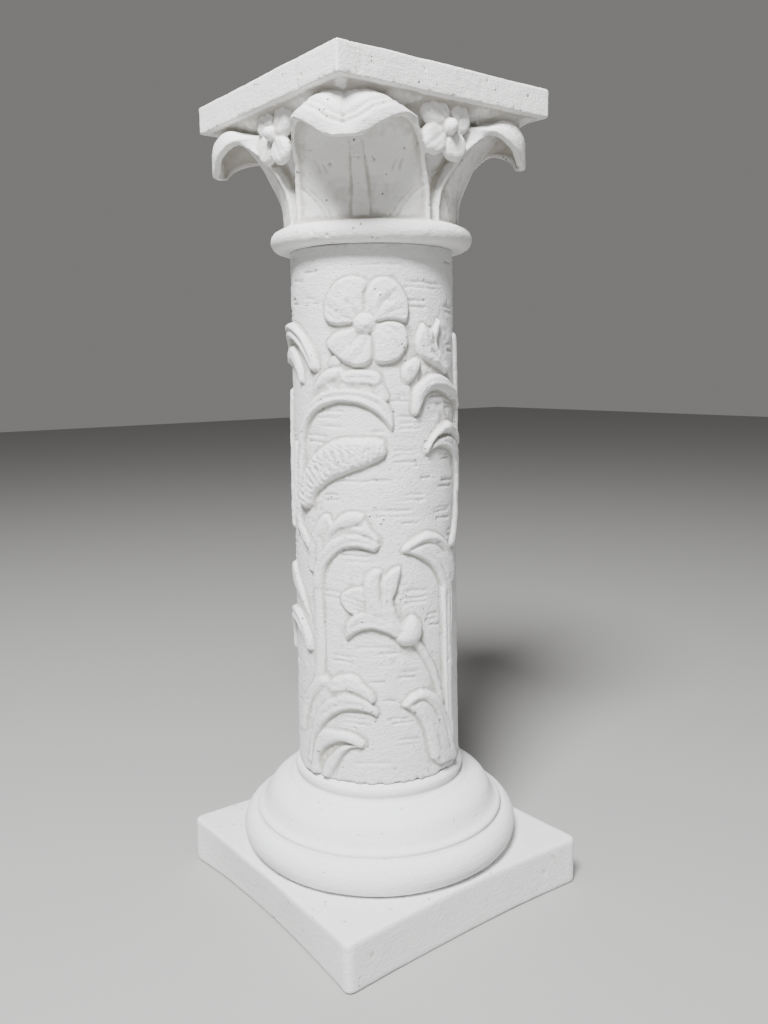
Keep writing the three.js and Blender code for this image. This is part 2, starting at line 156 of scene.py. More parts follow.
def weather(piece, wobble, wobble_size, grain, grain_size, seed):
    """Moves the skin in and out by hand-made unevenness and by a fine cast grain."""
    mesh = piece.data
    points = places(mesh)
    shift = wobble * lumps(points, wobble_size, seed)
    shift += grain * lumps(points, grain_size, seed + 1)
    shift += grain * 0.6 * lumps(points, grain_size * 0.45, seed + 2)
    put_places(mesh, points + normals(mesh) * shift[:, None])


def keep_inside(piece, low, high):
    """Holds a piece to a box, as its mould did."""
    put_places(piece.data, np.clip(places(piece.data), low, high))


def dent(piece, count, radius, depth, seed, low=-1.0, high=1.0, out=0.0):
    """Presses small round pits into a piece, at random places between two heights and far out."""
    mesh = piece.data
    points = places(mesh)
    facing = normals(mesh)
    chance = np.random.default_rng(seed)
    far = np.abs(points[:, :2]).max(axis=1) > out
    spots = np.where((points[:, 2] > low) & (points[:, 2] < high) & far)[0]
    for at in chance.choice(spots, count, replace=False):
        reach = radius * chance.uniform(0.6, 1.3)
        near = np.where(np.abs(points - points[at]).max(axis=1) < reach)[0]
        away = np.linalg.norm(points[near] - points[at], axis=1) / reach
        push = depth * np.clip(1 - away ** 2, 0, 1)
        points[near] -= facing[near] * push[:, None]
    put_places(mesh, points)


def add_node(tree, kind, inputs=None, **settings):
    """Adds a shader node with its settings, and links or sets its inputs."""
    node = tree.nodes.new(kind)
    for key, value in settings.items():
        setattr(node, key, value)
    for key, value in (inputs or {}).items():
        if isinstance(value, bpy.types.NodeSocket):
            tree.links.new(value, node.inputs[key])
        else:
            node.inputs[key].default_value = value
    return node


def paint_skin():
    """The paint on every casting: its tone and faint dust, painted shade in its folds, pits, brush
    marks and grain.
    """
    group = bpy.data.node_groups.new("painted_plaster", "ShaderNodeTree")
    sockets = {
        "Paint": "NodeSocketColor",
        "Painted shade colour": "NodeSocketColor",
        "Hollow": "NodeSocketFloat",
        "Painted shade strength": "NodeSocketFloat",
        "Pits": "NodeSocketFloat",
        "Brush": "NodeSocketFloat",
        "Grain": "NodeSocketFloat",
    }
    for name, kind in sockets.items():
        group.interface.new_socket(name, in_out="INPUT", socket_type=kind)
    group.interface.new_socket("Color", in_out="OUTPUT", socket_type="NodeSocketColor")
    group.interface.new_socket("Roughness", in_out="OUTPUT", socket_type="NodeSocketFloat")
    group.interface.new_socket("Height", in_out="OUTPUT", socket_type="NodeSocketFloat")
    given = add_node(group, "NodeGroupInput").outputs
    place = add_node(group, "ShaderNodeTexCoord").outputs["Object"]

    def noise(scale, detail=2.0, vector=place):
        node = add_node(group, "ShaderNodeTexNoise", {
            "Vector": vector, "Scale": scale, "Detail": detail, "Roughness": 0.55,
        })
        return node.outputs["Fac"]

    def ramp(value, low, high, bottom=0.0, top=1.0):
        return add_node(group, "ShaderNodeMapRange", {
            "Value": value, "From Min": low, "From Max": high, "To Min": bottom, "To Max": top,
        }, clamp=True).outputs["Result"]

    def maths(kind, first, second):
        return add_node(group, "ShaderNodeMath", {0: first, 1: second}, operation=kind).outputs[0]

    def blend(share, first, second):
        colors = {0: share, 6: first, 7: second}
        return add_node(group, "ShaderNodeMix", colors, data_type="RGBA").outputs[2]

    worn_white = (0.80, 0.79, 0.775, 1.0)
    dust = (0.62, 0.61, 0.585, 1.0)
    pit_shadow = (0.22, 0.20, 0.17, 1.0)
    cloudy = ramp(noise(7.0, 3.0), 0.35, 0.65)
    mottled = ramp(noise(70.0, 4.0), 0.3, 0.7)
    # Painted shade: the colour darkens towards a shade colour where the hollow attribute marks a
    # crease, as the shade that falls in folds and under forms.
    painted_shade = maths("MULTIPLY", ramp(given["Hollow"], 0.52, 0.85), given["Painted shade strength"])
    painted_shade = maths("MULTIPLY", painted_shade, ramp(noise(40.0), 0.25, 0.6, 0.5, 1.0))
    color = blend(cloudy, given["Paint"], worn_white)
    color = blend(0.35, given["Paint"], color)
    color = blend(maths("MULTIPLY", mottled, 0.05), color, dust)
    color = blend(painted_shade, color, given["Painted shade colour"])
    cells = add_node(group, "ShaderNodeTexVoronoi", {"Vector": place, "Scale": 170.0})
    pit = ramp(cells.outputs["Distance"], 0.20, 0.10)
    sparse = ramp(noise(55.0, 1.0), 0.60, 0.66)
    pit = maths("MULTIPLY", maths("MULTIPLY", pit, sparse), given["Pits"])
    color = blend(maths("MULTIPLY", pit, 0.9), color, pit_shadow)
    stretch = add_node(group, "ShaderNodeMapping", {
        "Vector": place, "Scale": (30.0, 30.0, 520.0),
    }).outputs["Vector"]
    strokes = noise(1.0, 3.0, stretch)
    grain = maths("ADD", noise(330.0, 3.0), noise(950.0, 2.0))
    grain = maths("MULTIPLY", grain, given["Grain"])
    height = maths("ADD", maths("MULTIPLY", strokes, given["Brush"]), grain)
    height = maths("SUBTRACT", height, maths("MULTIPLY", pit, 2.5))
    rough = ramp(mottled, 0.0, 1.0, 0.72, 0.9)
    out = add_node(group, "NodeGroupOutput")
    group.links.new(color, out.inputs["Color"])
    group.links.new(rough, out.inputs["Roughness"])
    group.links.new(height, out.inputs["Height"])
    return group


skin = paint_skin()


def painted_plaster(name, paint, painted_shade, painted_shade_strength, pits, brush, grain):
    """A material for one casting, with its own tone and wear, and painted shade in its folds."""
    material = bpy.data.materials.new(name)
    material.use_nodes = True
    tree = material.node_tree
    shader = tree.nodes["Principled BSDF"]
    hollow = add_node(tree, "ShaderNodeAttribute", attribute_name="hollow")
    coat = add_node(tree, "ShaderNodeGroup", {
        "Paint": (*paint, 1.0), "Painted shade colour": (*painted_shade, 1.0), "Hollow": hollow.outputs["Fac"],
        "Painted shade strength": painted_shade_strength, "Pits": pits, "Brush": brush, "Grain": grain,
    }, node_tree=skin)
    bump = add_node(tree, "ShaderNodeBump", {
        "Height": coat.outputs["Height"], "Strength": 1.0, "Distance": 0.001,
    })
    tree.links.new(coat.outputs["Color"], shader.inputs["Base Color"])
    tree.links.new(coat.outputs["Roughness"], shader.inputs["Roughness"])
    tree.links.new(bump.outputs["Normal"], shader.inputs["Normal"])
    shader.inputs["Specular IOR Level"].default_value = 0.35
    return material


def dress(piece, material, node):
    """Gives a finished casting its material, smooth shading and its place in the column."""
    piece.data.materials.clear()
    piece.data.materials.append(material)
    piece.data.shade_smooth()
    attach(piece, "root")
    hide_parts(node)


def plinth_block():
    bm = bmesh.new()
    bmesh.ops.create_cube(bm, size=1.0)
    tall = plinth_high.z - plinth_low.z
    bmesh.ops.scale(bm, vec=(2 * plinth_half, 2 * plinth_half, tall), verts=bm.verts)
    bmesh.ops.translate(bm, vec=(0, 0, tall / 2), verts=bm.verts)
    upright = [e for e in bm.edges if abs(e.verts[0].co.z - e.verts[1].co.z) > tall / 2]
    bmesh.ops.bevel(
        bm, geom=upright, offset=plinth_corner, affect="EDGES",
        segments=5, profile=0.5, material=-1,
    )
    rims = [e for e in bm.edges if abs(e.verts[0].co.z - e.verts[1].co.z) < 1e-6
            and len(e.link_faces) == 2
            and abs(e.link_faces[0].normal.z - e.link_faces[1].normal.z) > 0.5]
    bmesh.ops.bevel(
        bm, geom=rims, offset=plinth_edge, affect="EDGES",
        segments=3, profile=0.5, material=-1,
    )
    return to_object("plinth_casting", bm)


def sag_plinth(piece):
    """Draws the middle of each side in."""
    points = places(piece.data)
    share = np.clip(points[:, 2] / plinth_high.z, 0, 1)
    moved = points.copy()
    for (x, y), (foot, top) in plinth_sags.items():
        out = points[:, 0] * x + points[:, 1] * y
        along = points[:, 0] * y + points[:, 1] * x
        weight = np.clip(out / plinth_half, 0, 1) ** 3
        pull = (foot + (top - foot) * share) * (1 - (along / plinth_half) ** 2) * weight
        moved[:, 0] -= x * pull
        moved[:, 1] -= y * pull
    put_places(piece.data, moved)


plinth_casting = plinth_block()
settle(plinth_casting, "REMESH", mode="VOXEL", voxel_size=plinth_voxel)
settle(plinth_casting, "SMOOTH", factor=0.5, iterations=1)
sag_plinth(plinth_casting)
weather(plinth_casting, wobble=0.0006, wobble_size=0.055, grain=0.00013, grain_size=0.006, seed=3)
dent(plinth_casting, count=40, radius=0.004, depth=0.0009, seed=5)
keep_inside(plinth_casting, plinth_low, plinth_high)
mark_hollows(plinth_casting, passes=12, depth=0.0006)
dress(
    plinth_casting,
    painted_plaster(
        # The second colour is painted shade for this casting's folds and creases, with how strongly it
        # is laid in.
        "plinth_paint", paint=(0.80, 0.80, 0.795), painted_shade=(0.46, 0.44, 0.40),
        painted_shade_strength=0.5, pits=0.6, brush=0.2, grain=0.7,
    ),
    "plinth",
)

# Round base
# The moulding under the shaft, cast in one and bedded in plaster on the plinth: a torus with a
# crisp groove above it, a shoulder that sweeps in, and a narrow band that the shaft stands in.

base_low, base_high = (Vector(corner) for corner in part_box("round_base"))
base_steps = 300
base_spacing = 0.0014


def arc(radius, height, reach, rise, start, end, count):
    """Points on an arc of an ellipse in a profile, between two angles in degrees."""
    angles = np.radians(np.linspace(start, end, count))
    return [(radius + reach * math.cos(a), height + rise * math.sin(a)) for a in angles]


def even(points, spacing):
    """The same polyline with points at an even spacing."""
    points = np.array(points)
    lengths = np.concatenate([[0], np.cumsum(np.linalg.norm(np.diff(points, axis=0), axis=1))])
    wanted = np.linspace(0, lengths[-1], int(lengths[-1] / spacing) + 1)
    return np.stack([np.interp(wanted, lengths, column) for column in points.T], axis=1)


def spin_profile(bm, profile, steps):
    """Turns a profile of radius and height round the axis into a closed skin."""
    verts = [bm.verts.new((radius, 0, height)) for radius, height in profile]
    edges = [bm.edges.new(pair) for pair in zip(verts, verts[1:])]
    bmesh.ops.spin(
        bm, geom=verts + edges, cent=(0, 0, 0), axis=(0, 0, 1),
        angle=math.tau, steps=steps, use_merge=True,
    )
    bmesh.ops.remove_doubles(bm, verts=bm.verts, dist=1e-6)
    bmesh.ops.recalc_face_normals(bm, faces=bm.faces)


def base_moulding():
    """The profile as radius and height: torus, groove, shoulder and band."""
    outline = [
        (0.0, base_low.z),
        *arc(0.130, 0.0675, 0.015, 0.0174, -82, 78, 30),
        (0.1319, 0.0845), (0.1300, 0.0846), (0.1291, 0.0854), (0.1293, 0.0866), (0.1303, 0.0876),
        (0.1302, 0.0888), (0.1292, 0.0901), (0.1272, 0.0913), (0.1246, 0.0928), (0.1222, 0.0949),
        (0.1203, 0.0977), (0.1187, 0.1010), (0.1170, 0.1044), (0.1147, 0.1079), (0.1115, 0.1110),
        (0.1075, 0.1138), (0.1030, 0.1160), (0.0980, 0.1179), (0.0942, 0.1194), (0.0926, 0.1206),
        (0.0905, 0.1220), (0.0880, 0.1228), (0.0866, 0.1242),
        *arc(0.0845, 0.1312, 0.0043, 0.0060, -50, 70, 10),
        (0.0845, base_high.z),
        (0.0, base_high.z),
    ]
    bm = bmesh.new()
    spin_profile(bm, even(outline, base_spacing), base_steps)
    return to_object("base_casting", bm)


base_casting = base_moulding()
settle(base_casting, "SMOOTH", factor=0.5, iterations=2)
weather(base_casting, wobble=0.0005, wobble_size=0.06, grain=0.00008, grain_size=0.005, seed=11)
dent(base_casting, count=20, radius=0.004, depth=0.0006, seed=12)
keep_inside(base_casting, base_low, base_high)
mark_hollows(base_casting, passes=10, depth=0.0005)
dress(
    base_casting,
    painted_plaster(
        # The second colour is painted shade for this casting's folds and creases, with how strongly it
        # is laid in.
        "base_paint", paint=(0.84, 0.845, 0.85), painted_shade=(0.52, 0.50, 0.46),
        painted_shade_strength=0.35, pits=0.35, brush=0.5, grain=0.6,
    ),
    "round_base",
)

# Shaft
# A tapered drum cast in one with its relief: an open flower, a fat catkin, a lily and arched leaves
# on stems, over a ground scratched in short double lines like coursed bricks.

shaft_low, shaft_high = (Vector(corner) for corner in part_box("shaft"))
foot_radius = 0.0848
top_radius = 0.0795
middle_radius = (foot_radius + top_radius) / 2
relief_facing = math.radians(-126.7)
columns = 640
rows = 620
tall = shaft_high.z - shaft_low.z
column_width = math.tau * middle_radius / columns
row_height = tall / rows
# Height over the drum on a grid of rows and columns, and the low cut that a tool left round it.
relief = np.zeros((rows + 1, columns))
moat = np.zeros((rows + 1, columns))
moat_depth = 0.0011
moat_width = 0.0012


def to_ground(outline):
    """Places on the unrolled drum, in metres, from pairs of degrees and millimetres."""
    return np.array([(math.radians(a) * middle_radius, z / 1000) for a, z in outline])


def spline(a, b, c, d, t):
    """The stretch from b to c of a smooth curve through four points."""
    return 0.5 * (2 * b + (c - a) * t + (2 * a - 5 * b + 4 * c - d) * t ** 2
                  + (3 * b - a - 3 * c + d) * t ** 3)


def rounded(points, closed):
    """A smooth curve through points, eight steps to a span."""
    if closed:
        knots = np.vstack([points[-1], points, points[0], points[1]])
    else:
        knots = np.vstack([2 * points[0] - points[1], points, 2 * points[-1] - points[-2]])
    t = np.linspace(0, 1, 8, endpoint=False)[:, None]
    spans = [spline(*four, t) for four in zip(knots, knots[1:], knots[2:], knots[3:])]
    end = points[:1] if closed else points[-1:]
    return np.vstack(spans + [end])


def patch(line, margin):
    """The part of the grid round a line: its index, and its places as rows."""
    low = line.min(axis=0) - margin
    high = line.max(axis=0) + margin
    row_numbers = np.arange(
        max(0, int((low[1] - shaft_low.z) / row_height)),
        min(rows, int((high[1] - shaft_low.z) / row_height) + 1) + 1,
    )
    column_numbers = np.arange(int(low[0] / column_width) - 1, int(high[0] / column_width) + 2)
    across, up = np.meshgrid(column_numbers * column_width, shaft_low.z + row_numbers * row_height)
    where = np.ix_(row_numbers, column_numbers % columns)
    return where, np.stack([across.ravel(), up.ravel()], axis=-1), across.shape


def distance_to(points, line):
    """How far each place is from a line, and how far along the line it is, from 0 to 1."""
    start = line[:-1]
    step = line[1:] - start
    span = (step ** 2).sum(axis=1) + 1e-12
    gap = points[:, None] - start[None]
    share = np.clip((gap * step).sum(axis=2) / span, 0, 1)
    away = np.linalg.norm(gap - share[..., None] * step, axis=2)
    nearest = away.argmin(axis=1)
    picked = np.arange(len(points)), nearest
    return away[picked], (nearest + share[picked]) / len(start)


def inside(points, loop):
    """Whether each place is inside a closed line."""
    x, y = points[:, :1], points[:, 1:]
    x1, y1 = loop[:-1].T
    x2, y2 = loop[1:].T
    spans = (y1 > y) != (y2 > y)
    crossing = x1 + (y - y1) * (x2 - x1) / np.where(y2 == y1, 1e-12, y2 - y1)
    return (spans & (x < crossing)).sum(axis=1) % 2 == 1


def groove(distance, width):
    """A smooth cut: 1 on its line, and fading over about a width."""
    return np.exp(-(distance / width) ** 2)


def add_form(where, shape, height, outside):
    """Adds a raised form to the relief, and the low cut in the ground round it."""
    relief[where] = np.maximum(relief[where], height.reshape(shape))
    edge = groove(outside, moat_width).reshape(shape)
    moat[where] = np.maximum(moat[where], moat_depth * edge)


def raised(outline, lift, roll=3.2, low=None):
    """Raises the form inside an outline by a lift in mm, over an edge rolled that many mm wide.

    Low is a place where the form sinks, how far the sinking reaches and what is left there."""
    loop = rounded(to_ground(outline), True)
    where, points, shape = patch(loop, 0.006)
    away, _ = distance_to(points, loop)
    within = inside(points, loop)
    climb = np.clip(away / (roll / 1000), 0, 1)
    height = lift / 1000 * np.sqrt(1 - (1 - climb) ** 2) * within
    if low is not None:
        place, reach, left = low
        gap = np.linalg.norm(points - to_ground([place]), axis=1) / (reach / 1000)
        height *= left + (1 - left) * np.clip(gap, 0, 1) ** 0.8
    add_form(where, shape, height, np.where(within, 0, away))


def line(path, rise, width=1.3):
    """Raises a ridge, or cuts a crease where rise is negative, along a path over raised forms."""
    spine = rounded(to_ground(path), False)
    where, points, shape = patch(spine, 0.005)
    away, along = distance_to(points, spine)
    fade = np.clip(np.minimum(along, 1 - along) / 0.12, 0, 1) ** 0.5
    change = rise / 1000 * groove(away, width / 1000) * (0.35 + 0.65 * fade)
    solid = np.clip(relief[where] / 0.002, 0, 1)
    relief[where] += change.reshape(shape) * solid


def boss(place, half_width, half_height, lift):
    """Raises a round boss with sizes in mm."""
    middle = to_ground([place])
    size = np.array([half_width, half_height]) / 1000
    where, points, shape = patch(middle, size.max() * 1.3)
    away = np.linalg.norm((points - middle) / size, axis=-1).reshape(shape)
    height = lift / 1000 * np.clip(1 - away ** 2, 0, 1) ** 0.5
    relief[where] = np.maximum(relief[where], height)


def stem(path, width, lift, furrow=0.0):
    """Raises a rounded stem along a path, with a furrow to one side and sizes in mm."""
    spine = rounded(to_ground(path), False)
    where, points, shape = patch(spine, width / 1000)
    away, _ = distance_to(points, spine)
    side = away / (width / 2000)
    height = lift / 1000 * np.clip(1 - side ** 2.4, 0, 1) ** 0.55
    height -= furrow / 1000 * groove(side - 0.35, 0.2) * (side < 1)
    add_form(where, shape, height, np.clip(away - width / 2000, 0, None))


def flower():
    """The open flower near the top: four broad petals round a boss."""
    heart = (-5.2, 584.5)
    sunk = (heart, 26, 0.45)
    raised([(-5.2, 592), (-5.4, 603), (-5.2, 611), (-2.9, 619), (-5.4, 623.5), (-9.4, 626),
            (-15.2, 626.3), (-20.9, 624), (-25.5, 620), (-29.2, 614), (-31.9, 606.5),
            (-32.8, 598), (-32.5, 591), (-30, 586), (-25.5, 583.8), (-19.8, 583.7), (-12, 585)],
           5.0, low=sunk)
    raised([(-4.6, 592), (-4.6, 603), (-4.2, 611), (-2, 617.5), (0.8, 622.5), (4.4, 625),
            (9, 625.3), (13.6, 623.3), (17.6, 619), (21.1, 612.5), (23.4, 605), (23.9, 597),
            (23.4, 590), (21.2, 585.6), (15.9, 587.5), (9, 587.5), (3, 586)],
           5.6, low=sunk)
    raised([(0, 584), (4, 584.4), (10.1, 586), (16.5, 585.2), (20.5, 582), (22.8, 575.8),
            (23.4, 568.3), (21.9, 561.7), (18.8, 555), (14.2, 550.2), (8.4, 548), (3.4, 548.5),
            (1, 551.5), (0.6, 560), (0.2, 568), (-1.5, 576)],
           5.4, low=sunk)
    raised([(-2.6, 576), (-0.6, 570), (-0.2, 563), (-0.2, 556), (-1.2, 551), (-4.8, 547),
            (-9.4, 545.5), (-15.2, 547.5), (-20.9, 551.7), (-26.7, 558.3), (-30.7, 564),
            (-30.9, 569), (-27.3, 574.5), (-22.1, 578), (-16.3, 580), (-10, 582)],
           5.8, low=sunk)
    line([(-30, 603), (-25, 597), (-19, 591), (-13, 588)], -1.1)
    line([(-31, 597), (-26, 591.5), (-20, 588)], -0.9)
    line([(-27, 609), (-20, 602), (-13, 594)], 0.7, 2.4)
    line([(-14, 620), (-12, 608), (-9, 597)], 0.6, 2.2)
    line([(1, 599), (5, 609), (10, 616.5)], 1.1, 1.7)
    line([(3.5, 597), (8.5, 606), (14, 614)], -0.9)
    line([(7, 591.5), (14, 595.5), (21, 598)], -1.1)
    line([(9, 589.5), (15, 591), (21, 592)], -0.9)
    line([(3, 590.5), (11, 599.5), (19, 605)], 0.6, 1.8)
    line([(5, 582.5), (12, 580), (19, 573)], -1.1)
    line([(2, 579), (8, 570), (13, 558)], 0.8, 2.2)
    line([(4, 580), (12, 571), (17, 562)], -0.8)
    line([(-3, 573), (-6, 562), (-12, 550)], -1.2)
    line([(-6, 574), (-11, 563), (-17, 552)], 0.8, 2.0)
    line([(-8, 575), (-15, 565), (-22, 556)], -1.0)
    line([(-11, 578), (-20, 572), (-28, 564)], 0.7, 1.8)
    line([(-12, 580.5), (-20, 577), (-28, 571)], -0.8)
    boss(heart, 11.4, 10.6, 9.0)


def long_arch():
    """A long leaf that rises on its stem and bows over to a point."""
    raised([(-60.5, 473), (-59, 487), (-54, 499), (-48.6, 508.3), (-40.5, 518), (-32.5, 523.6),
            (-23.2, 526.2), (-15.2, 525.8), (-7.1, 524.6), (-0.2, 521.7), (5.5, 516.7),
            (9.6, 510), (12.2, 501.7), (12.8, 491.7), (11.5, 486.5), (7.8, 493), (2.1, 501.5),
            (-4.8, 508), (-11.7, 511.7), (-20.9, 513.3), (-29, 511.7), (-37.1, 507.5),
            (-44, 500.8), (-49.7, 491.7), (-53.2, 481.7), (-55.5, 470)],
           5.2, 3.4)
    line([(-50, 500), (-40, 512.5), (-28, 518.5), (-14, 519.5), (-2, 515.5), (6, 507.5),
          (10.5, 496)], -1.3, 1.6)
    line([(-47, 499.5), (-38, 508.6), (-28, 514.4), (-16, 515.4), (-5, 511.8), (4, 503.5),
          (9.5, 493)], 0.9, 1.5)
    stem([(-58, 476), (-59.5, 455), (-61, 430), (-63, 410)], 10, 4.0)


def catkin():
    """A fat catkin, rough with small scales."""
    body = [(7.8, 464), (7.8, 470), (5.5, 477.5), (-2.5, 480.3), (-11.7, 480.3), (-20.9, 480),
            (-27.9, 477.5), (-33.6, 473.3), (-39.4, 468.5), (-45.1, 462), (-49.7, 454.5),
            (-53.7, 446.7), (-56.6, 436.7), (-58.9, 426.7), (-59.8, 416.7), (-56.6, 410.5),
            (-51, 410.5), (-46.3, 416), (-42.8, 424.5), (-37.1, 431.7), (-30.2, 438.7),
            (-23.2, 443.7), (-15.2, 448.3), (-7.1, 452.5), (-0.2, 456.7), (4.4, 460.3)]
    scale_length = 0.0052
    scale_width = 0.0045
    scale_depth = 0.0012
    raised(body, 7.2, 9.0)
    edge = rounded(to_ground(body), True)
    spine = rounded(to_ground([(-56, 414), (-50, 435), (-38, 452), (-20, 463), (-4, 468),
                               (8, 467)]), False)
    where, points, shape = patch(edge, 0.002)
    away, along = distance_to(points, spine)
    length = np.linalg.norm(np.diff(spine, axis=0), axis=1).sum()
    row = along * length / scale_length
    side = away / scale_width
    row = row + 0.30 * np.sin(2.3 * side + 1.1 * row) + 0.45 * side
    side = side + 0.22 * np.sin(1.7 * row)
    scale = 0.8 * np.cos(row * math.tau)
    scale += 0.35 * np.cos(side * math.tau + np.floor(row) * math.pi)
    solid = np.clip(relief[where] / 0.004, 0, 1) ** 2
    solid = solid * inside(points, edge).reshape(shape)
    relief[where] += scale_depth * scale.reshape(shape) * solid


def upper_spray():
    """Below the flower: two lobes over a long arched leaf, a stem, and the catkin."""
    raised([(-58, 486), (-52, 508), (-42, 528), (-34, 540), (-24, 543), (-17, 541), (2, 539),
            (6, 530), (10, 514), (-10, 516), (-30, 516), (-45, 504), (-54, 486)], 3.4)
    raised([(-57, 497), (-52, 510), (-46, 520), (-41.7, 530), (-37.1, 538.3), (-31.3, 543.3),
            (-25.5, 545), (-20.8, 543), (-21.5, 537), (-25.5, 532), (-32, 528.6), (-40, 522),
            (-47, 512), (-53, 500)], 5.6, 4.5)
    line([(-44, 518), (-38, 529), (-30, 537)], 0.7, 2.4)
    raised([(-30.2, 545.8), (-29.5, 552), (-26, 556.7), (-22.5, 552), (-23, 547)], 2.8, 2.6)
    raised([(-21, 535.5), (-18.1, 540.8), (-11.7, 542.7), (-3.7, 541.9), (2.1, 540), (5.2, 535),
            (4.6, 529.8), (0.9, 527.6), (-4.8, 529), (-11.7, 529), (-18.6, 530)], 5.6, 3.0)
    line([(-17, 535), (-8, 535.6), (2, 533.5)], -0.9, 1.3)
    long_arch()
    catkin()
    stem([(-62, 415), (-64, 398), (-58, 384), (-47, 372)], 11, 3.8)
    stem([(-70, 470), (-71, 440), (-70, 410), (-66, 388)], 9, 3.0)


def right_spray():
    """Right of the flower: a tulip bud, a lump, a hooked leaf and a two-part sickle leaf."""
    raised([(34.9, 584.6), (32, 580), (29.7, 571.7), (29.1, 565), (30.8, 558), (35, 552),
            (42, 547), (50, 543), (58, 538), (60, 546), (54, 555), (49, 562), (47, 568),
            (48.4, 574), (50.6, 582), (50.6, 589.5), (46.5, 585), (42, 579.5), (38.5, 581)],
           4.6, 3.4)
    line([(37, 580), (36, 568), (40, 556), (48, 548)], 0.8, 2.0)
    line([(45, 583), (42.5, 570), (44, 558), (52, 548)], -0.9, 1.4)
    raised([(18.8, 540), (20.2, 546), (26.2, 552), (30.8, 552.3), (32.3, 547), (30, 540),
            (26.5, 533.3), (22.8, 529.8), (19.9, 533.3)], 4.6, 3.2)
    line([(21, 543), (26, 543), (31, 548)], 0.9, 1.6)
    raised([(27.4, 499.3), (25.2, 504), (25.4, 513.3), (26.6, 521.7), (29.7, 528.3),
            (34.3, 533.3), (40, 536.9), (46, 538), (53, 536.5), (62, 531), (70, 524),
            (77, 515), (80, 503), (76, 504), (73, 511), (65.4, 514), (57.3, 518.6),
            (50.4, 522), (44.6, 522.8), (38.9, 520), (34.9, 514.6), (32.4, 508), (30.2, 501.5)],
           5.6, 3.6)
    line([(29, 508), (30, 518), (35, 526), (43, 529.5), (53, 528), (64, 522)], 1.0, 1.6)
    line([(33, 512.5), (36.5, 520), (43, 525.4), (52, 525.6), (62, 520.5)], -1.2, 1.5)
    raised([(36.2, 462.5), (35, 469), (37.7, 475), (42.3, 481.7), (48.1, 487.5), (55, 491.7),
            (61, 492.6), (67, 488.6), (75, 483), (81, 476), (80, 466), (72, 472), (66, 477),
            (60.8, 480), (55, 480.8), (48.1, 479), (43.5, 475), (40, 469.2)], 5.4, 3.4)
    raised([(36.8, 462), (42.3, 467), (48.1, 468.8), (55, 468.1), (61.9, 464), (67.7, 456.4),
            (71.1, 446.7), (73, 436), (74, 420), (82, 420), (82, 445), (80, 462), (74, 471),
            (67, 476.4), (60, 478.6), (53, 478.2), (46, 475.4), (41, 470)], 4.6, 3.0)
    line([(42, 469.5), (50, 473), (59, 471.6), (67, 464.5), (73, 452)], -1.0, 1.3)
    stem([(79, 572), (80, 530), (79, 470), (77, 425), (74, 396), (66, 372)], 12, 4.2, furrow=0.7)


def middle_arch():
    """An arched leaf with a crease along it, on a long furrowed stem."""
    raised([(-46.6, 330), (-46.3, 340), (-45.1, 351.7), (-41.7, 365), (-35.9, 375),
            (-29, 383), (-22.1, 388), (-15.2, 389.6), (-9.4, 389), (-3.7, 386), (1, 382),
            (2.6, 378.3), (-0.6, 373), (-6, 374.4), (-11.7, 376.6), (-18.6, 376),
            (-24.4, 372.2), (-30.2, 364.5), (-34.8, 356), (-37.6, 346), (-39.2, 335)],
           5.2, 3.4)
    line([(-41.5, 345), (-38, 358), (-31, 369), (-23, 378), (-14, 382.5), (-4, 380.5)],
         -1.1, 1.5)
    stem([(-43, 340), (-42.4, 312), (-41.8, 280), (-42.5, 250), (-45, 234)], 12.5, 4.2, furrow=0.6)


def middle_spray():
    """Left of the middle: three lobes over an arched leaf on its long stem."""
    raised([(-52, 352), (-49, 378), (-42, 399), (-34, 405), (-28, 400), (-20, 406), (-9, 406),
            (-3, 395), (2, 383), (-14, 384), (-30, 376), (-42, 350)], 3.4)
    raised([(-50.3, 364), (-49, 380), (-45.1, 391.7), (-40.5, 401.7), (-35.9, 406.7),
            (-31.6, 405), (-32.5, 398.3), (-36, 390), (-40.5, 380), (-44.5, 369)], 4.8, 4.0)
    raised([(-36, 379), (-33.4, 388), (-30, 396), (-26, 403.5), (-21, 408.3), (-15, 410.6),
            (-9.4, 409.4), (-6.8, 405.8), (-9, 400), (-15.2, 396.2), (-22.1, 393.6),
            (-28, 388.3), (-32.5, 382)], 5.8, 4.0)
    line([(-31, 391), (-24, 400), (-14, 404.5)], 0.8, 2.2)
    raised([(-16, 394), (-10.6, 397.8), (-6, 396.9), (-1.4, 391), (2.2, 383.5), (0, 381),
            (-5, 386.5), (-11, 390)], 5.0, 2.8)
    middle_arch()


def sickle_spray():
    """Right of the middle: a broad sickle leaf on a flat stem that runs down to the base."""
    raised([(17, 371), (18, 376), (20.5, 379.5), (25.1, 383.3), (30.8, 386.9), (36.6, 388.5),
            (42.3, 386.2), (48.1, 382.7), (53.9, 377), (59.6, 369), (63.5, 358), (65, 345),
            (63, 333), (57, 329), (50, 329.5), (48.9, 332), (46.4, 339.5), (42.3, 348.6),
            (36.6, 357), (30.8, 363), (25.1, 367.2), (20.3, 369.6)],
           4.6, 3.2)
    line([(19.5, 374.5), (26, 379.5), (34, 383), (42, 381.5), (50, 376), (56, 368)],
         1.8, 2.6)
    line([(22, 372.5), (30, 376.5), (37, 377.3), (44, 373.5), (51, 366)], -1.2, 1.6)
    line([(36, 366), (44, 358), (50, 347), (54, 335)], -0.9, 1.3)
    line([(44, 364), (51, 354), (56, 341)], 0.8, 2.0)
    raised([(48.8, 331), (55, 332.3), (61, 331.5), (61.5, 325), (60.5, 290), (60, 250),
            (60, 205), (60, 160), (51, 160), (51, 205), (50, 250), (49.4, 290)],
           4.8, 2.6)
    line([(53.2, 328), (53, 290), (53.4, 240), (54, 190)], -1.0, 1.2)
    line([(58, 328), (57.6, 290), (57.6, 240), (57.8, 190)], -0.7, 1.1)


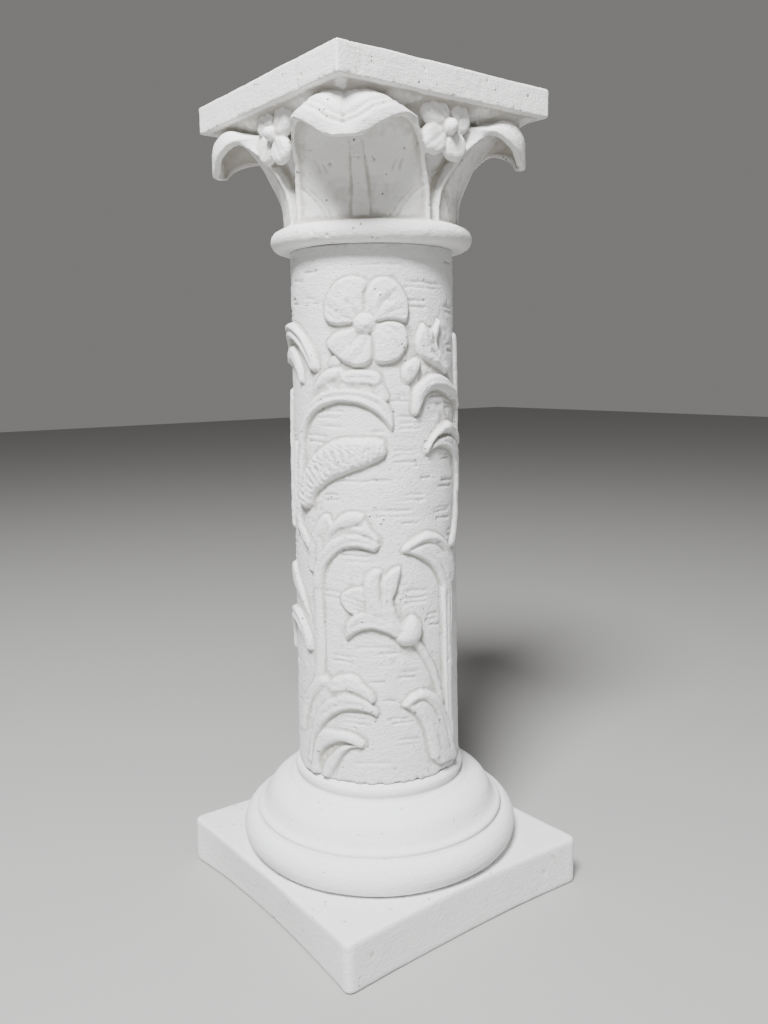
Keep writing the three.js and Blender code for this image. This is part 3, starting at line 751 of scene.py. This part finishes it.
def lily():
    """The lily in the middle: two upright petals, a fan, a curled petal and a bud on a stem."""
    raised([(-9.4, 337.7), (-15.2, 336.9), (-20.9, 333.3), (-24.4, 328.3), (-24.4, 321.7),
            (-22.1, 316.7), (-17.5, 311.5), (-11, 310), (-6, 318), (-6, 330)], 3.6, 2.6)
    line([(-21.5, 329), (-15, 326.5), (-9, 323.5)], -1.0, 1.1)
    line([(-22.5, 324.5), (-15, 321.5), (-9, 318.5)], -1.0, 1.1)
    line([(-20.5, 319.5), (-14, 316.5), (-9, 314.5)], -0.8, 1.1)
    raised([(-6.6, 312), (-8, 324), (-8.6, 336), (-7.2, 346.5), (-2.8, 354), (1.6, 355.6),
            (3.6, 352.5), (2.4, 345), (2.6, 335), (3.4, 322), (6, 310)], 5.4, 3.4)
    raised([(3, 312), (3.2, 330), (3.4, 342), (5.5, 348.6), (10.1, 354.4), (15.4, 357),
            (16.2, 352), (14.4, 341), (12.6, 331.7), (10.8, 324), (12, 312)], 5.2, 3.2)
    line([(-3.4, 348), (-4, 335), (-2.6, 322), (0, 313)], 0.7, 1.8)
    line([(8.6, 347), (7, 335), (6.6, 323)], -0.8, 1.3)
    raised([(-6.6, 318), (3, 322), (10.4, 322), (13, 311), (16, 302), (21, 294), (17, 286),
            (11, 289), (5, 297), (-2, 308)], 4.6, 3.6)
    raised([(-20.4, 285.8), (-21.2, 293), (-20, 301.7), (-16.3, 309.2), (-11.7, 313.4),
            (-6, 314.4), (-0.2, 311), (5.5, 306.7), (12, 301), (13.5, 291), (11.3, 288.2),
            (7.8, 291.6), (2.1, 295.2), (-3.7, 297.4), (-9.4, 296), (-15.2, 292)], 5.8, 3.0)
    line([(-17, 297), (-12, 302.5), (-4, 304.5), (5, 301)], -1.3, 1.2)
    line([(-15, 301.5), (-10, 307), (-3, 308.6), (5, 304.5)], -0.8, 1.1)
    raised([(23.4, 308.5), (27.6, 305), (30.5, 298.3), (30.5, 288.3), (26.4, 280.6),
            (20.5, 278.5), (14.5, 281.5), (11.9, 288), (14.7, 295), (18.4, 303)], 9.0, 11)
    line([(18, 280.5), (24, 282.4), (28.6, 288.5), (29.4, 296)], -0.8, 0.9)
    line([(19, 283.8), (24, 286), (27, 292)], -0.7, 0.9)
    stem([(27, 281), (32, 270), (37, 258), (41.5, 245), (45, 230), (48, 214)], 8.0, 3.2)


def lower_arch():
    """A low arched leaf with a crease along it."""
    raised([(-54, 152), (-53, 165), (-51, 180), (-48, 193.3), (-44.5, 206.7), (-38.6, 218),
            (-30.4, 226.6), (-21, 231.6), (-15.2, 230.6), (-8.3, 227), (-3.7, 222),
            (0, 215), (-0.8, 209.4), (-4.8, 212.8), (-10.6, 215.4), (-16.3, 216.2),
            (-23.2, 213.8), (-30.2, 207.8), (-35.9, 200.2), (-40.5, 192.6), (-45, 182),
            (-48.6, 170), (-50, 152)], 5.2, 3.6)
    line([(-50, 172), (-46.4, 190), (-40, 205), (-31, 216), (-21, 221.6), (-11, 221.4),
          (-4, 216.6)], -1.0, 1.5)


def lower_spray():
    """Above the base on the left: lobes over an arched leaf, and a hooked leaf in two blades."""
    raised([(-68, 150), (-66, 184), (-60, 208), (-50, 232), (-40, 244), (-34, 238), (-20, 248),
            (-11, 245), (-4, 231), (-12, 222), (-30, 218), (-43, 200), (-47, 180), (-44, 150),
            (-46, 140), (-60, 140)], 3.4)
    raised([(-66, 180), (-64, 194), (-61.6, 207), (-57, 222), (-51, 233.5), (-44.4, 243.5),
            (-39.4, 246.2), (-35.6, 244.2), (-34.6, 239.6), (-38.6, 232.4), (-44.6, 223.4),
            (-50, 211), (-54, 197), (-57, 182)], 5.4, 4.6)
    line([(-60, 197), (-54, 217), (-46, 232), (-39, 239)], 0.7, 2.6)
    raised([(-34.8, 235.4), (-32.5, 242.5), (-26.7, 248.5), (-18.6, 251), (-12.7, 248.5),
            (-9.6, 243.3), (-4.4, 236), (-1.6, 227), (-4, 223), (-7.1, 226.6), (-11.7, 231),
            (-18.6, 234), (-25.5, 232.6), (-31.6, 230)], 5.6, 3.8)
    line([(-29, 237), (-19, 241), (-10, 237)], 0.7, 2.2)
    lower_arch()
    raised([(-51.4, 142), (-50.4, 153), (-48.6, 165), (-46.3, 176.7), (-42.8, 185.4),
            (-38.2, 190.4), (-30.2, 192.2), (-20.9, 192.2), (-14, 189), (-9.2, 183),
            (-10.6, 177.4), (-16.3, 179.4), (-23.2, 181.6), (-29, 179.8), (-34.8, 174.6),
            (-39.4, 168), (-42.8, 158.6), (-44.5, 142)], 5.6, 3.8)
    line([(-46.6, 158), (-43.4, 171), (-37, 181), (-28, 186.2), (-17, 185.4)], 0.7, 2.0)
    raised([(-40.6, 142), (-40, 148.5), (-38.2, 156.7), (-33.6, 165), (-29, 171.5),
            (-24.4, 176.5), (-17, 179.5), (-11.6, 178.4), (-18.6, 175.8), (-23, 170.6),
            (-26.5, 162.8), (-29, 156), (-32, 149), (-35, 142)], 5.0, 3.0)
    line([(-37, 150), (-32, 161), (-26, 170.6)], -0.9, 1.3)
    line([(-44.6, 150), (-42, 161), (-36, 171), (-29, 176.4)], -1.0, 1.3)


def broad_leaf():
    """Above the base on the right: a broad drooping leaf beside the stem."""
    raised([(16, 218.6), (18, 224.4), (22.8, 229.5), (29.7, 232), (36.6, 228.8), (43.5, 222),
            (48.3, 212), (52, 201), (55.4, 187), (59, 171), (63.4, 156), (64, 146), (52, 147.6),
            (45.8, 148.6), (41, 153.6), (37.4, 160), (35, 173.3), (32.7, 186.7),
            (29.3, 198.3), (24.9, 208), (20.3, 214.6)], 5.0, 3.2)
    line([(18.4, 220.4), (24, 225.2), (30.4, 226.4), (36.6, 222.6), (42.4, 215), (47, 204)],
         1.5, 2.4)
    line([(21.6, 218.6), (27, 221.4), (32, 219.6), (37, 213.2), (41.6, 203), (45, 190)],
         -1.2, 1.6)
    line([(29, 212), (35, 200), (39, 184), (42, 166)], 0.7, 2.2)
    line([(44, 210), (48.6, 195), (52, 178), (55, 160)], -1.0, 1.4)
    line([(38, 196), (42, 181), (45, 163)], -0.7, 1.3)


def far_leaves():
    """Two arched leaves that reach in from the far side on the left, and their stems."""
    raised([(-112, 545), (-106, 566), (-98, 580), (-88, 587.6), (-76, 589.4), (-64, 586.4),
            (-55, 580), (-47.4, 570), (-42, 559), (-39, 550), (-39.4, 543.6), (-42.6, 541.4),
            (-46, 544), (-50, 553), (-57, 563.6), (-66, 570.6), (-78, 573.4), (-88, 571.6),
            (-96, 563), (-102, 545)], 6.0, 4.2)
    line([(-100, 571), (-88, 579.6), (-74, 581), (-62, 576.4), (-53, 567), (-45, 552)],
         -1.7, 1.8)
    line([(-97, 575), (-86, 583.6), (-73, 584.6), (-60, 580), (-50, 569.6), (-42, 553)],
         0.9, 1.6)
    raised([(-92, 556), (-84, 564), (-75, 566.4), (-67, 563), (-60.6, 555), (-56, 545),
            (-54.4, 533), (-57.6, 531), (-62, 541), (-69, 549.4), (-77, 552.6), (-86, 548)],
           4.6, 3.4)
    raised([(-110, 250), (-104, 272), (-96, 290), (-86, 302), (-74, 306.4), (-63, 302),
            (-55, 292), (-50, 279), (-49.6, 268.6), (-54, 268), (-59, 279), (-67, 287.6),
            (-76, 290), (-85, 284.6), (-92, 271), (-96, 250)], 5.6, 4.0)
    line([(-98, 279), (-88, 294), (-75, 298.6), (-64, 294), (-55.6, 281)], -1.4, 1.7)
    raised([(-84, 345), (-79, 331), (-71, 325), (-62, 318), (-55, 306), (-51, 296),
            (-55, 314), (-61, 330), (-69, 342), (-77, 352)], 4.2, 3.4)
    stem([(-108, 556), (-109, 480), (-107, 400), (-106, 330), (-104, 260)], 13, 4.6, furrow=0.8)
    stem([(-86, 520), (-84, 470), (-82, 430), (-80, 390)], 11, 3.6, furrow=0.6)


def far_side():
    """The far side repeats the main sprays half a turn on."""
    near = relief.copy(), moat.copy()
    relief[:] = 0
    moat[:] = 0
    for motif in (flower, long_arch, catkin, middle_arch, sickle_spray, lower_arch, broad_leaf):
        motif()
    for field, kept in zip((relief, moat), near):
        field[:] = np.maximum(kept, np.roll(field, columns // 2, axis=1))


def soften(field, passes):
    """Rounds a field on the shaft's grid, as thick paint does."""
    for _ in range(passes):
        field = (2 * field + np.roll(field, 1, axis=1) + np.roll(field, -1, axis=1)) / 4
        padded = np.pad(field, ((1, 1), (0, 0)), mode="edge")
        field = (2 * field + padded[:-2] + padded[2:]) / 4
    return field


# Scratches on the side that shows: degrees and height in mm where a group starts, its length in
# degrees and how many lines lie over each other, about 5 mm apart.
front_scratches = (
    (-53, 633, 14, 1), (-52, 604, 13, 2), (-72, 627, 17, 1), (-13, 636, 34, 1), (20, 617, 34, 2),
    (23, 599, 17, 2), (58, 596, 16, 2), (57, 642, 14, 1), (-75, 605, 12, 2), (60, 560, 14, 2),
    (-42, 498, 23, 2), (-40, 490, 20, 1), (12, 514, 12, 2), (14, 487, 19, 3), (-52, 476, 20, 2),
    (41, 510, 15, 2), (57, 505, 12, 2), (0, 486, 9, 1), (13, 456, 20, 3), (50, 456, 11, 2),
    (-27, 439, 24, 1), (-10, 439, 22, 1), (48, 430, 20, 2), (19, 420, 18, 2), (-38, 420, 13, 2),
    (-3, 405, 32, 2), (43, 399, 20, 3), (-23, 362, 22, 3), (17, 398, 14, 1), (57, 380, 15, 2),
    (-39, 326, 14, 2), (18, 320, 20, 3), (35, 295, 11, 3), (-20, 277, 30, 1), (-32, 263, 16, 2),
    (-6, 243, 12, 1), (12, 247, 15, 2), (-25, 201, 20, 3), (7, 200, 17, 2), (11, 178, 18, 2),
    (-20, 160, 30, 1), (-2, 271, 18, 1), (24, 368, 12, 1), (30, 440, 10, 1), (2, 225, 10, 1),
)


scratch_width = 0.0008
scratch_depth = 0.0022
course_height = 19.0


def scratches():
    """Short level scratches in groups: as seen in front, and in staggered courses elsewhere."""
    chance = np.random.default_rng(21)
    marks = np.zeros_like(relief)
    groups = list(front_scratches)
    for course, height in enumerate(np.arange(150, 650, course_height)):
        for start in np.arange(82 + 17 * (course % 2), 270, 34.0):
            groups.append((
                start + chance.uniform(-5, 5), height + chance.uniform(-3, 3),
                chance.uniform(12, 22), int(chance.integers(1, 4)),
            ))
    for start, height, length, lines in groups:
        for number in range(lines):
            left = start + chance.uniform(-2, 2)
            level = height + number * chance.uniform(4.6, 6.2)
            lean = chance.uniform(-1.2, 1.2)
            path = to_ground([
                (left, level), (left + length * 0.35, level + lean * 0.5 + 0.5),
                (left + length * 0.7, level + lean), (left + length, level + lean + 0.4),
            ])
            where, points, shape = patch(path, 0.004)
            away, along = distance_to(points, rounded(path, False))
            ends = np.clip(np.minimum(along, 1 - along) / 0.2, 0, 1) ** 0.7
            cut = groove(away, scratch_width) * ends * chance.uniform(0.55, 1.0)
            marks[where] = np.maximum(marks[where], cut.reshape(shape))
    return marks


# Spots where the cast came out rough: degrees, and height and radius in mm.
rough_spots = (
    (-19, 612, 14), (8, 612, 11), (-5, 584, 10), (44, 568, 20), (28, 541, 13), (-28, 532, 9),
    (-52, 425, 22), (-62, 396, 24), (58, 486, 16), (-6, 340, 12), (8, 322, 14), (10, 266, 13),
    (-44, 378, 10), (-30, 240, 14), (28, 226, 10), (-40, 150, 14), (44, 152, 12), (-64, 210, 14),
    (150, 420, 26), (172, 260, 24), (200, 520, 26), (232, 340, 24), (120, 590, 22),
)


def rough_mask():
    """How rough the cast is over the drum, 0 to 1."""
    mask = np.zeros_like(relief)
    for angle, height, radius in rough_spots:
        middle = to_ground([(angle, height)])
        where, points, shape = patch(middle, radius * 0.0022)
        away = np.linalg.norm(points - middle, axis=1)
        mask[where] = np.maximum(mask[where], groove(away, radius * 0.001).reshape(shape))
    return mask


def ground_noise(size, seed):
    """Noise over the drum, the same on both sides of its seam."""
    around = np.arange(columns) / columns * math.tau
    heights = shaft_low.z + np.arange(rows + 1) * row_height
    angle, height = np.meshgrid(around, heights)
    points = np.stack([
        middle_radius * np.cos(angle), middle_radius * np.sin(angle), height,
    ], axis=-1)
    return lumps(points.reshape(-1, 3), size, seed).reshape(angle.shape)


def shaft_drum():
    """A grid bent round the axis, with the relief in its radius, closed at both ends."""
    bm = bmesh.new()
    bmesh.ops.create_grid(bm, x_segments=columns, y_segments=rows, size=1.0)
    for vert in bm.verts:
        column = round((vert.co.x + 1) / 2 * columns)
        row = round((vert.co.y + 1) / 2 * rows)
        angle = relief_facing + column / columns * math.tau
        share = row / rows
        radius = foot_radius + (top_radius - foot_radius) * share + surface[row, column % columns]
        vert.co = (radius * math.cos(angle), radius * math.sin(angle), shaft_low.z + share * tall)
    bmesh.ops.remove_doubles(bm, verts=[v for v in bm.verts if v.is_boundary], dist=1e-7)
    rims = [e for e in bm.edges if e.is_boundary]
    bmesh.ops.holes_fill(bm, edges=rims, sides=0)
    bmesh.ops.recalc_face_normals(bm, faces=bm.faces)
    return to_object("shaft_casting", bm)


flower()
right_spray()
upper_spray()
middle_spray()
sickle_spray()
lily()
lower_spray()
broad_leaf()
far_leaves()
far_side()

ground = np.clip(1 - relief / 0.0015, 0, 1)
surface = relief - moat * ground - scratch_depth * scratches() * ground
surface = soften(surface, 2)
surface += 0.0004 * ground_noise(0.05, 31) + 0.0003 * ground_noise(0.012, 32)
surface += (0.00026 + 0.0008 * rough_mask()) * ground_noise(0.0042, 33)

shaft_casting = shaft_drum()
settle(shaft_casting, "DECIMATE", ratio=0.24)
dent(shaft_casting, count=160, radius=0.0017, depth=0.0012, seed=34)
dent(
    shaft_casting, count=70, radius=0.0020, depth=0.0018, seed=35,
    high=shaft_low.z + 0.0015, out=0.06,
)
keep_inside(shaft_casting, shaft_low, shaft_high)
mark_hollows(shaft_casting, passes=14, depth=0.0007)
dress(
    shaft_casting,
    painted_plaster(
        # The second colour is painted shade for this casting's folds and creases, with how strongly it
        # is laid in.
        "shaft_paint", paint=(0.80, 0.81, 0.805), painted_shade=(0.42, 0.40, 0.355),
        painted_shade_strength=0.8, pits=1.0, brush=0.3, grain=1.4,
    ),
    "shaft",
)

# Capital
# One casting: a ring, a bell that flares to the square abacus, a hollow leaf that curls down under
# each corner, and a floret between them under the middle of each side.

capital_low, capital_high = (Vector(corner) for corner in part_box("capital"))
ring_tube = 0.010
ring_middle = 0.0884
abacus_half = 0.12065
abacus_thickness = 0.0258
abacus_under = capital_high.z - abacus_thickness
leaf_facing = math.radians(-132.8)
capital_voxel = 0.00125


def curve_through(points, shares):
    """Points on a smooth curve through points that are evenly spread over 0 to 1."""
    points = np.array(points, dtype=float)
    knots = np.vstack([2 * points[0] - points[1], points, 2 * points[-1] - points[-2]])
    place = np.clip(shares, 0, 1) * (len(points) - 1)
    start = np.minimum(place.astype(int), len(points) - 2)
    t = (place - start)[..., None]
    return spline(*(knots[start + i] for i in range(4)), t)


# The middle and the rim of a corner leaf: out from the axis, across, and up.
leaf_middle = [
    (0.0840, 0, 0.672), (0.0860, 0, 0.700), (0.0970, 0, 0.724), (0.1120, 0, 0.748),
    (0.1310, 0, 0.764), (0.1460, 0, 0.755), (0.1485, 0, 0.730),
]
leaf_rim = [
    (0.065, 0.060, 0.672), (0.068, 0.060, 0.700), (0.079, 0.058, 0.722), (0.097, 0.057, 0.741),
    (0.119, 0.048, 0.752), (0.139, 0.031, 0.744), (0.147, 0.014, 0.732),
]
leaf_length = 0.150
leaf_wall = 0.022
hood_wall = 0.0072
hood_edge_thinning = 0.0030
rim_width = 0.0042
rim_height = 0.0024
rib_height = 0.0013
rib_groove_depth = 0.0014
vein_depth = 0.0015
hood_line_depth = 0.0017
hood_crease_depth = 0.0018
# Pairs of veins on a leaf's front: the share where each starts, its side there, and its length.
leaf_veins = (
    (-0.02, 0.40, 0.25),
    (0.26, 0.50, 0.11),
)


def scoop(share, side):
    """The hollow front of a corner leaf, at a share along it and a side from -1 to 1."""
    middle = curve_through(leaf_middle, share)
    rim = curve_through(leaf_rim, share)
    bend = np.abs(side) ** (2.2 + 1.2 * share)
    return np.stack([
        middle[..., 0] + (rim[..., 0] - middle[..., 0]) * bend,
        rim[..., 1] * side,
        middle[..., 2] + (rim[..., 2] - middle[..., 2]) * bend,
    ], axis=-1)


def scoop_inward(share, side):
    """Unit vectors from the front of a corner leaf to its back."""
    step = 0.01
    along = scoop(share + step, side) - scoop(share - step, side)
    over = scoop(share, side + step) - scoop(share, side - step)
    inward = np.cross(along, over)
    return inward / np.linalg.norm(inward, axis=-1)[..., None]


def leaf_front_carving(share, side):
    """How far the front is raised: a thin rim, a midrib and pairs of curved veins each side."""
    across = curve_through(leaf_rim, share)[..., 1]
    rim = np.clip((np.abs(side) * across - across + rim_width) / 0.0018, 0, 1)
    form = rim_height * rim
    rib_half = 0.0095 - 0.010 * np.clip(share, 0, 0.45)
    off_rib = np.abs(side * across) - rib_half
    fade = np.clip((0.46 - share) / 0.12, 0, 1)
    form = form + rib_height * np.clip(-off_rib / 0.0015, 0, 1) * fade
    form = form - rib_groove_depth * groove(off_rib, 0.0010) * fade
    for root, foot, tip in leaf_veins:
        rise = np.clip(share - root, 0, None)
        fade = np.clip((share - root) / 0.02, 0, 1) * np.clip((root + tip - share) / 0.04, 0, 1)
        for start in (foot, foot + 0.09):
            vein = start + 4.7 * rise ** 1.6
            form = form - vein_depth * groove((np.abs(side) - vein) * across, 0.0011) * fade
    return form


def leaf_back_carving(share, side):
    """How far the hood's top is raised: two lines along its rim and a crease down its middle."""
    across = curve_through(leaf_rim, share)[..., 1]
    to_side = (1 - np.abs(side)) * np.maximum(across, 0.02)
    to_tip = (1 - share) * leaf_length
    edge = -0.006 * np.log(np.exp(-to_side / 0.006) + np.exp(-to_tip / 0.006))
    hood = np.clip((share - 0.5) / 0.1, 0, 1)
    lines = groove(edge - 0.009, 0.0011) + groove(edge - 0.0131, 0.0011)
    form = -hood_line_depth * lines * hood
    return form - hood_crease_depth * groove(side * across, 0.0012) * hood


# Each corner leaf: its turn about the axis in degrees, the lean of its tip and its reach.
corner_leaves = (
    (0, 0.005, 1.0),
    (90, 0.0, 0.92),
    (180, 0.0, 1.0),
    (270, 0.0, 1.0),
)


def corner_leaf(bm, turn, lean, reach):
    """One corner leaf: a front and a back grid, joined round their rim."""
    facing = leaf_facing + math.radians(turn)
    shells = []
    for back in (False, True):
        made = bmesh.ops.create_grid(bm, x_segments=120, y_segments=100, size=1.0)["verts"]
        flat = np.array([vert.co[:2] for vert in made])
        share = (flat[:, 0] + 1) / 2
        side = flat[:, 1]
        inward = scoop_inward(share, side)
        if back:
            hood = ease(np.clip((share - 0.45) / 0.2, 0, 1))
            wall = leaf_wall + (hood_wall - hood_edge_thinning * side ** 2 - leaf_wall) * hood
            shift = wall + leaf_back_carving(share, side)
        else:
            shift = -leaf_front_carving(share, side)
        points = scoop(share, side) + inward * shift[:, None]
        bend = np.clip((share - 0.2) / 0.8, 0, 1)
        points[:, 1] -= lean * ease(bend)
        out = points[:, 0] - leaf_middle[0][0]
        points[:, 0] -= (1 - reach) * np.clip(out, 0, None)
        for vert, point in zip(made, points):
            vert.co = point
        if back:
            bmesh.ops.reverse_faces(bm, faces=list({f for v in made for f in v.link_faces}))
        shells.append(made)
    rims = list({e for v in shells[0] + shells[1] for e in v.link_edges if e.is_boundary})
    bmesh.ops.bridge_loops(bm, edges=rims)
    bmesh.ops.rotate(
        bm, cent=(0, 0, 0), matrix=Matrix.Rotation(facing, 3, "Z"), verts=shells[0] + shells[1],
    )


def lobe(bm, place, size, turn, dish, crease=0.0, heading=0.0):
    """A rounded lobe on one side of the capital, its outer face dished and creased by shares."""
    made = bmesh.ops.create_icosphere(bm, subdivisions=4, radius=1.0)["verts"]
    for vert in made:
        across = math.hypot(vert.co.y, vert.co.z)
        if vert.co.x > 0:
            off = vert.co.y * math.sin(heading) - vert.co.z * math.cos(heading)
            vert.co.x -= dish * max(0, 1 - (across / 0.75) ** 2)
            vert.co.x -= crease * (groove(off, 0.17) + 0.6 * groove(abs(off) - 0.48, 0.13))
    matrix = Matrix.Rotation(turn, 4, "Z") @ Matrix.Translation(place) @ Matrix.Diagonal((*size, 1))
    bmesh.ops.transform(bm, matrix=matrix, verts=made)


floret_out = 0.105
floret_up = 0.753
petal_half_thickness = 0.0080
# Each petal of a floret: its place across and up from the boss, and its half sizes.
floret_petals = (
    ((-0.0130, 0.0110), (0.0164, 0.0119)),
    ((0.0135, 0.0090), (0.0129, 0.0139)),
    ((-0.0150, -0.0110), (0.0136, 0.0136)),
    ((0.0080, -0.0150), (0.0134, 0.0126)),
)


# Each floret: its turn about the axis in degrees, and its place across its side.
floret_shifts = ((0, 0.0), (90, 0.003), (180, 0.001), (270, 0.006))


def floret(bm, turn, shift):
    """Four creased petals round a boss, leaning on the bell."""
    for (across, up), (half_width, half_height) in floret_petals:
        place = (floret_out + 0.0005, across + shift, floret_up + up)
        size = (petal_half_thickness, half_width, half_height)
        lobe(bm, place, size, turn, dish=0.3, crease=0.12, heading=math.atan2(up, across))
    boss_size = (0.0110, 0.0068, 0.0070)
    lobe(bm, (floret_out + 0.004, shift, floret_up), boss_size, turn, dish=0.1)


def ring_and_bell(bm):
    """The ring, and the bell that flares behind the leaves."""
    outline = [
        (0.0, capital_low.z),
        *arc(ring_middle, capital_low.z + ring_tube, ring_tube, ring_tube, -90, 110, 24),
        (0.0830, 0.6795), (0.0820, 0.700), (0.0860, 0.720), (0.0960, 0.743), (0.1060, 0.765),
        (0.1090, abacus_under + 0.004), (0.0, abacus_under + 0.004),
    ]
    spin_profile(bm, even(outline, 0.003), 160)


def abacus(bm):
    """The square slab on top, its edges a little worn."""
    made = bmesh.ops.create_cube(bm, size=1.0)["verts"]
    size = (2 * abacus_half, 2 * abacus_half, abacus_thickness)
    bmesh.ops.scale(bm, vec=size, verts=made)
    bmesh.ops.translate(bm, vec=(0, 0, capital_high.z - abacus_thickness / 2), verts=made)
    edges = list({e for v in made for e in v.link_edges})
    bmesh.ops.bevel(
        bm, geom=edges, offset=0.0015, affect="EDGES", segments=2, profile=0.5, material=-1,
    )


def cushion(bm):
    """The low sloping block that fills in under the abacus."""
    top = abacus_half - 0.006
    foot = abacus_half - 0.022
    tall = 0.012
    matrix = Matrix.Translation((0, 0, abacus_under - tall / 2 + 0.002))
    matrix = matrix @ Matrix.Rotation(math.pi / 4, 4, "Z")
    bmesh.ops.create_cone(
        bm, cap_ends=True, segments=4, depth=tall, matrix=matrix,
        radius1=foot * math.sqrt(2), radius2=top * math.sqrt(2),
    )


def capital_parts():
    bm = bmesh.new()
    ring_and_bell(bm)
    abacus(bm)
    cushion(bm)
    for turn, lean, reach in corner_leaves:
        corner_leaf(bm, turn, lean, reach)
    for turn, shift in floret_shifts:
        floret(bm, math.radians(turn), shift)
    return to_object("capital_casting", bm)


capital_casting = capital_parts()
settle(capital_casting, "REMESH", mode="VOXEL", voxel_size=capital_voxel)
settle(capital_casting, "SMOOTH", factor=0.5, iterations=1)
weather(capital_casting, wobble=0.0006, wobble_size=0.03, grain=0.00022, grain_size=0.006, seed=41)
dent(capital_casting, count=160, radius=0.0017, depth=0.0012, seed=42)
dent(
    capital_casting, count=45, radius=0.0022, depth=0.0010, seed=43,
    low=abacus_under - 0.001, high=abacus_under + 0.0015, out=abacus_half - 0.002,
)
settle(capital_casting, "DECIMATE", ratio=0.42)
keep_inside(capital_casting, capital_low, capital_high)
mark_hollows(capital_casting, passes=14, depth=0.0008)
dress(
    capital_casting,
    painted_plaster(
        # The second colour is painted shade for this casting's folds and creases, with how strongly it
        # is laid in.
        "capital_paint", paint=(0.80, 0.80, 0.785), painted_shade=(0.40, 0.37, 0.32),
        painted_shade_strength=0.8, pits=1.0, brush=0.4, grain=0.6,
    ),
    "capital",
)

# Room
# A pale floor, soft lights and a camera where the photograph was taken from.


def room_floor():
    bm = bmesh.new()
    bmesh.ops.create_grid(bm, x_segments=1, y_segments=1, size=8.0)
    floor = to_object("floor", bm)
    material = bpy.data.materials.new("pale_floor")
    material.use_nodes = True
    shader = material.node_tree.nodes["Principled BSDF"]
    shader.inputs["Base Color"].default_value = (0.36, 0.355, 0.347, 1.0)
    shader.inputs["Roughness"].default_value = 0.9
    floor.data.materials.append(material)


def soft_light(name, place, target, size, power, color):
    lamp = bpy.data.lights.new(name, "AREA")
    lamp.shape = "DISK"
    lamp.size = size
    lamp.energy = power
    lamp.color = color
    holder = bpy.data.objects.new(name, lamp)
    bpy.context.collection.objects.link(holder)
    holder.location = place
    holder.rotation_euler = (Vector(target) - Vector(place)).to_track_quat("-Z", "Y").to_euler()


room_floor()
soft_light("key_light", (-1.3, -1.0, 2.45), (0, 0, 0.4), 0.8, 240, (0.985, 0.99, 1.0))
soft_light("fill_light", (-0.9, -1.8, 1.9), (0, 0, 0.4), 1.4, 8, (0.94, 0.97, 1.0))

world = bpy.data.worlds.new("soft_room")
world.use_nodes = True
world.node_tree.nodes["Background"].inputs["Color"].default_value = (1.0, 0.985, 0.96, 1.0)
world.node_tree.nodes["Background"].inputs["Strength"].default_value = 0.2
bpy.context.scene.world = world

camera_place = (-0.5551, -0.7449, 0.5454)
camera_heading = math.radians(37.243)
camera_dip = math.radians(9.06)
camera_roll = math.radians(-0.785)
camera_data = bpy.data.cameras.new("camera")
camera_data.lens = 32.06
camera_data.sensor_width = 36
camera = bpy.data.objects.new("camera", camera_data)
bpy.context.collection.objects.link(camera)
camera.matrix_world = (
    Matrix.Translation(camera_place)
    @ Matrix.Rotation(-camera_heading, 4, "Z")
    @ Matrix.Rotation(math.pi / 2 - camera_dip, 4, "X")
    @ Matrix.Rotation(camera_roll, 4, "Z")
)
bpy.context.scene.camera = camera
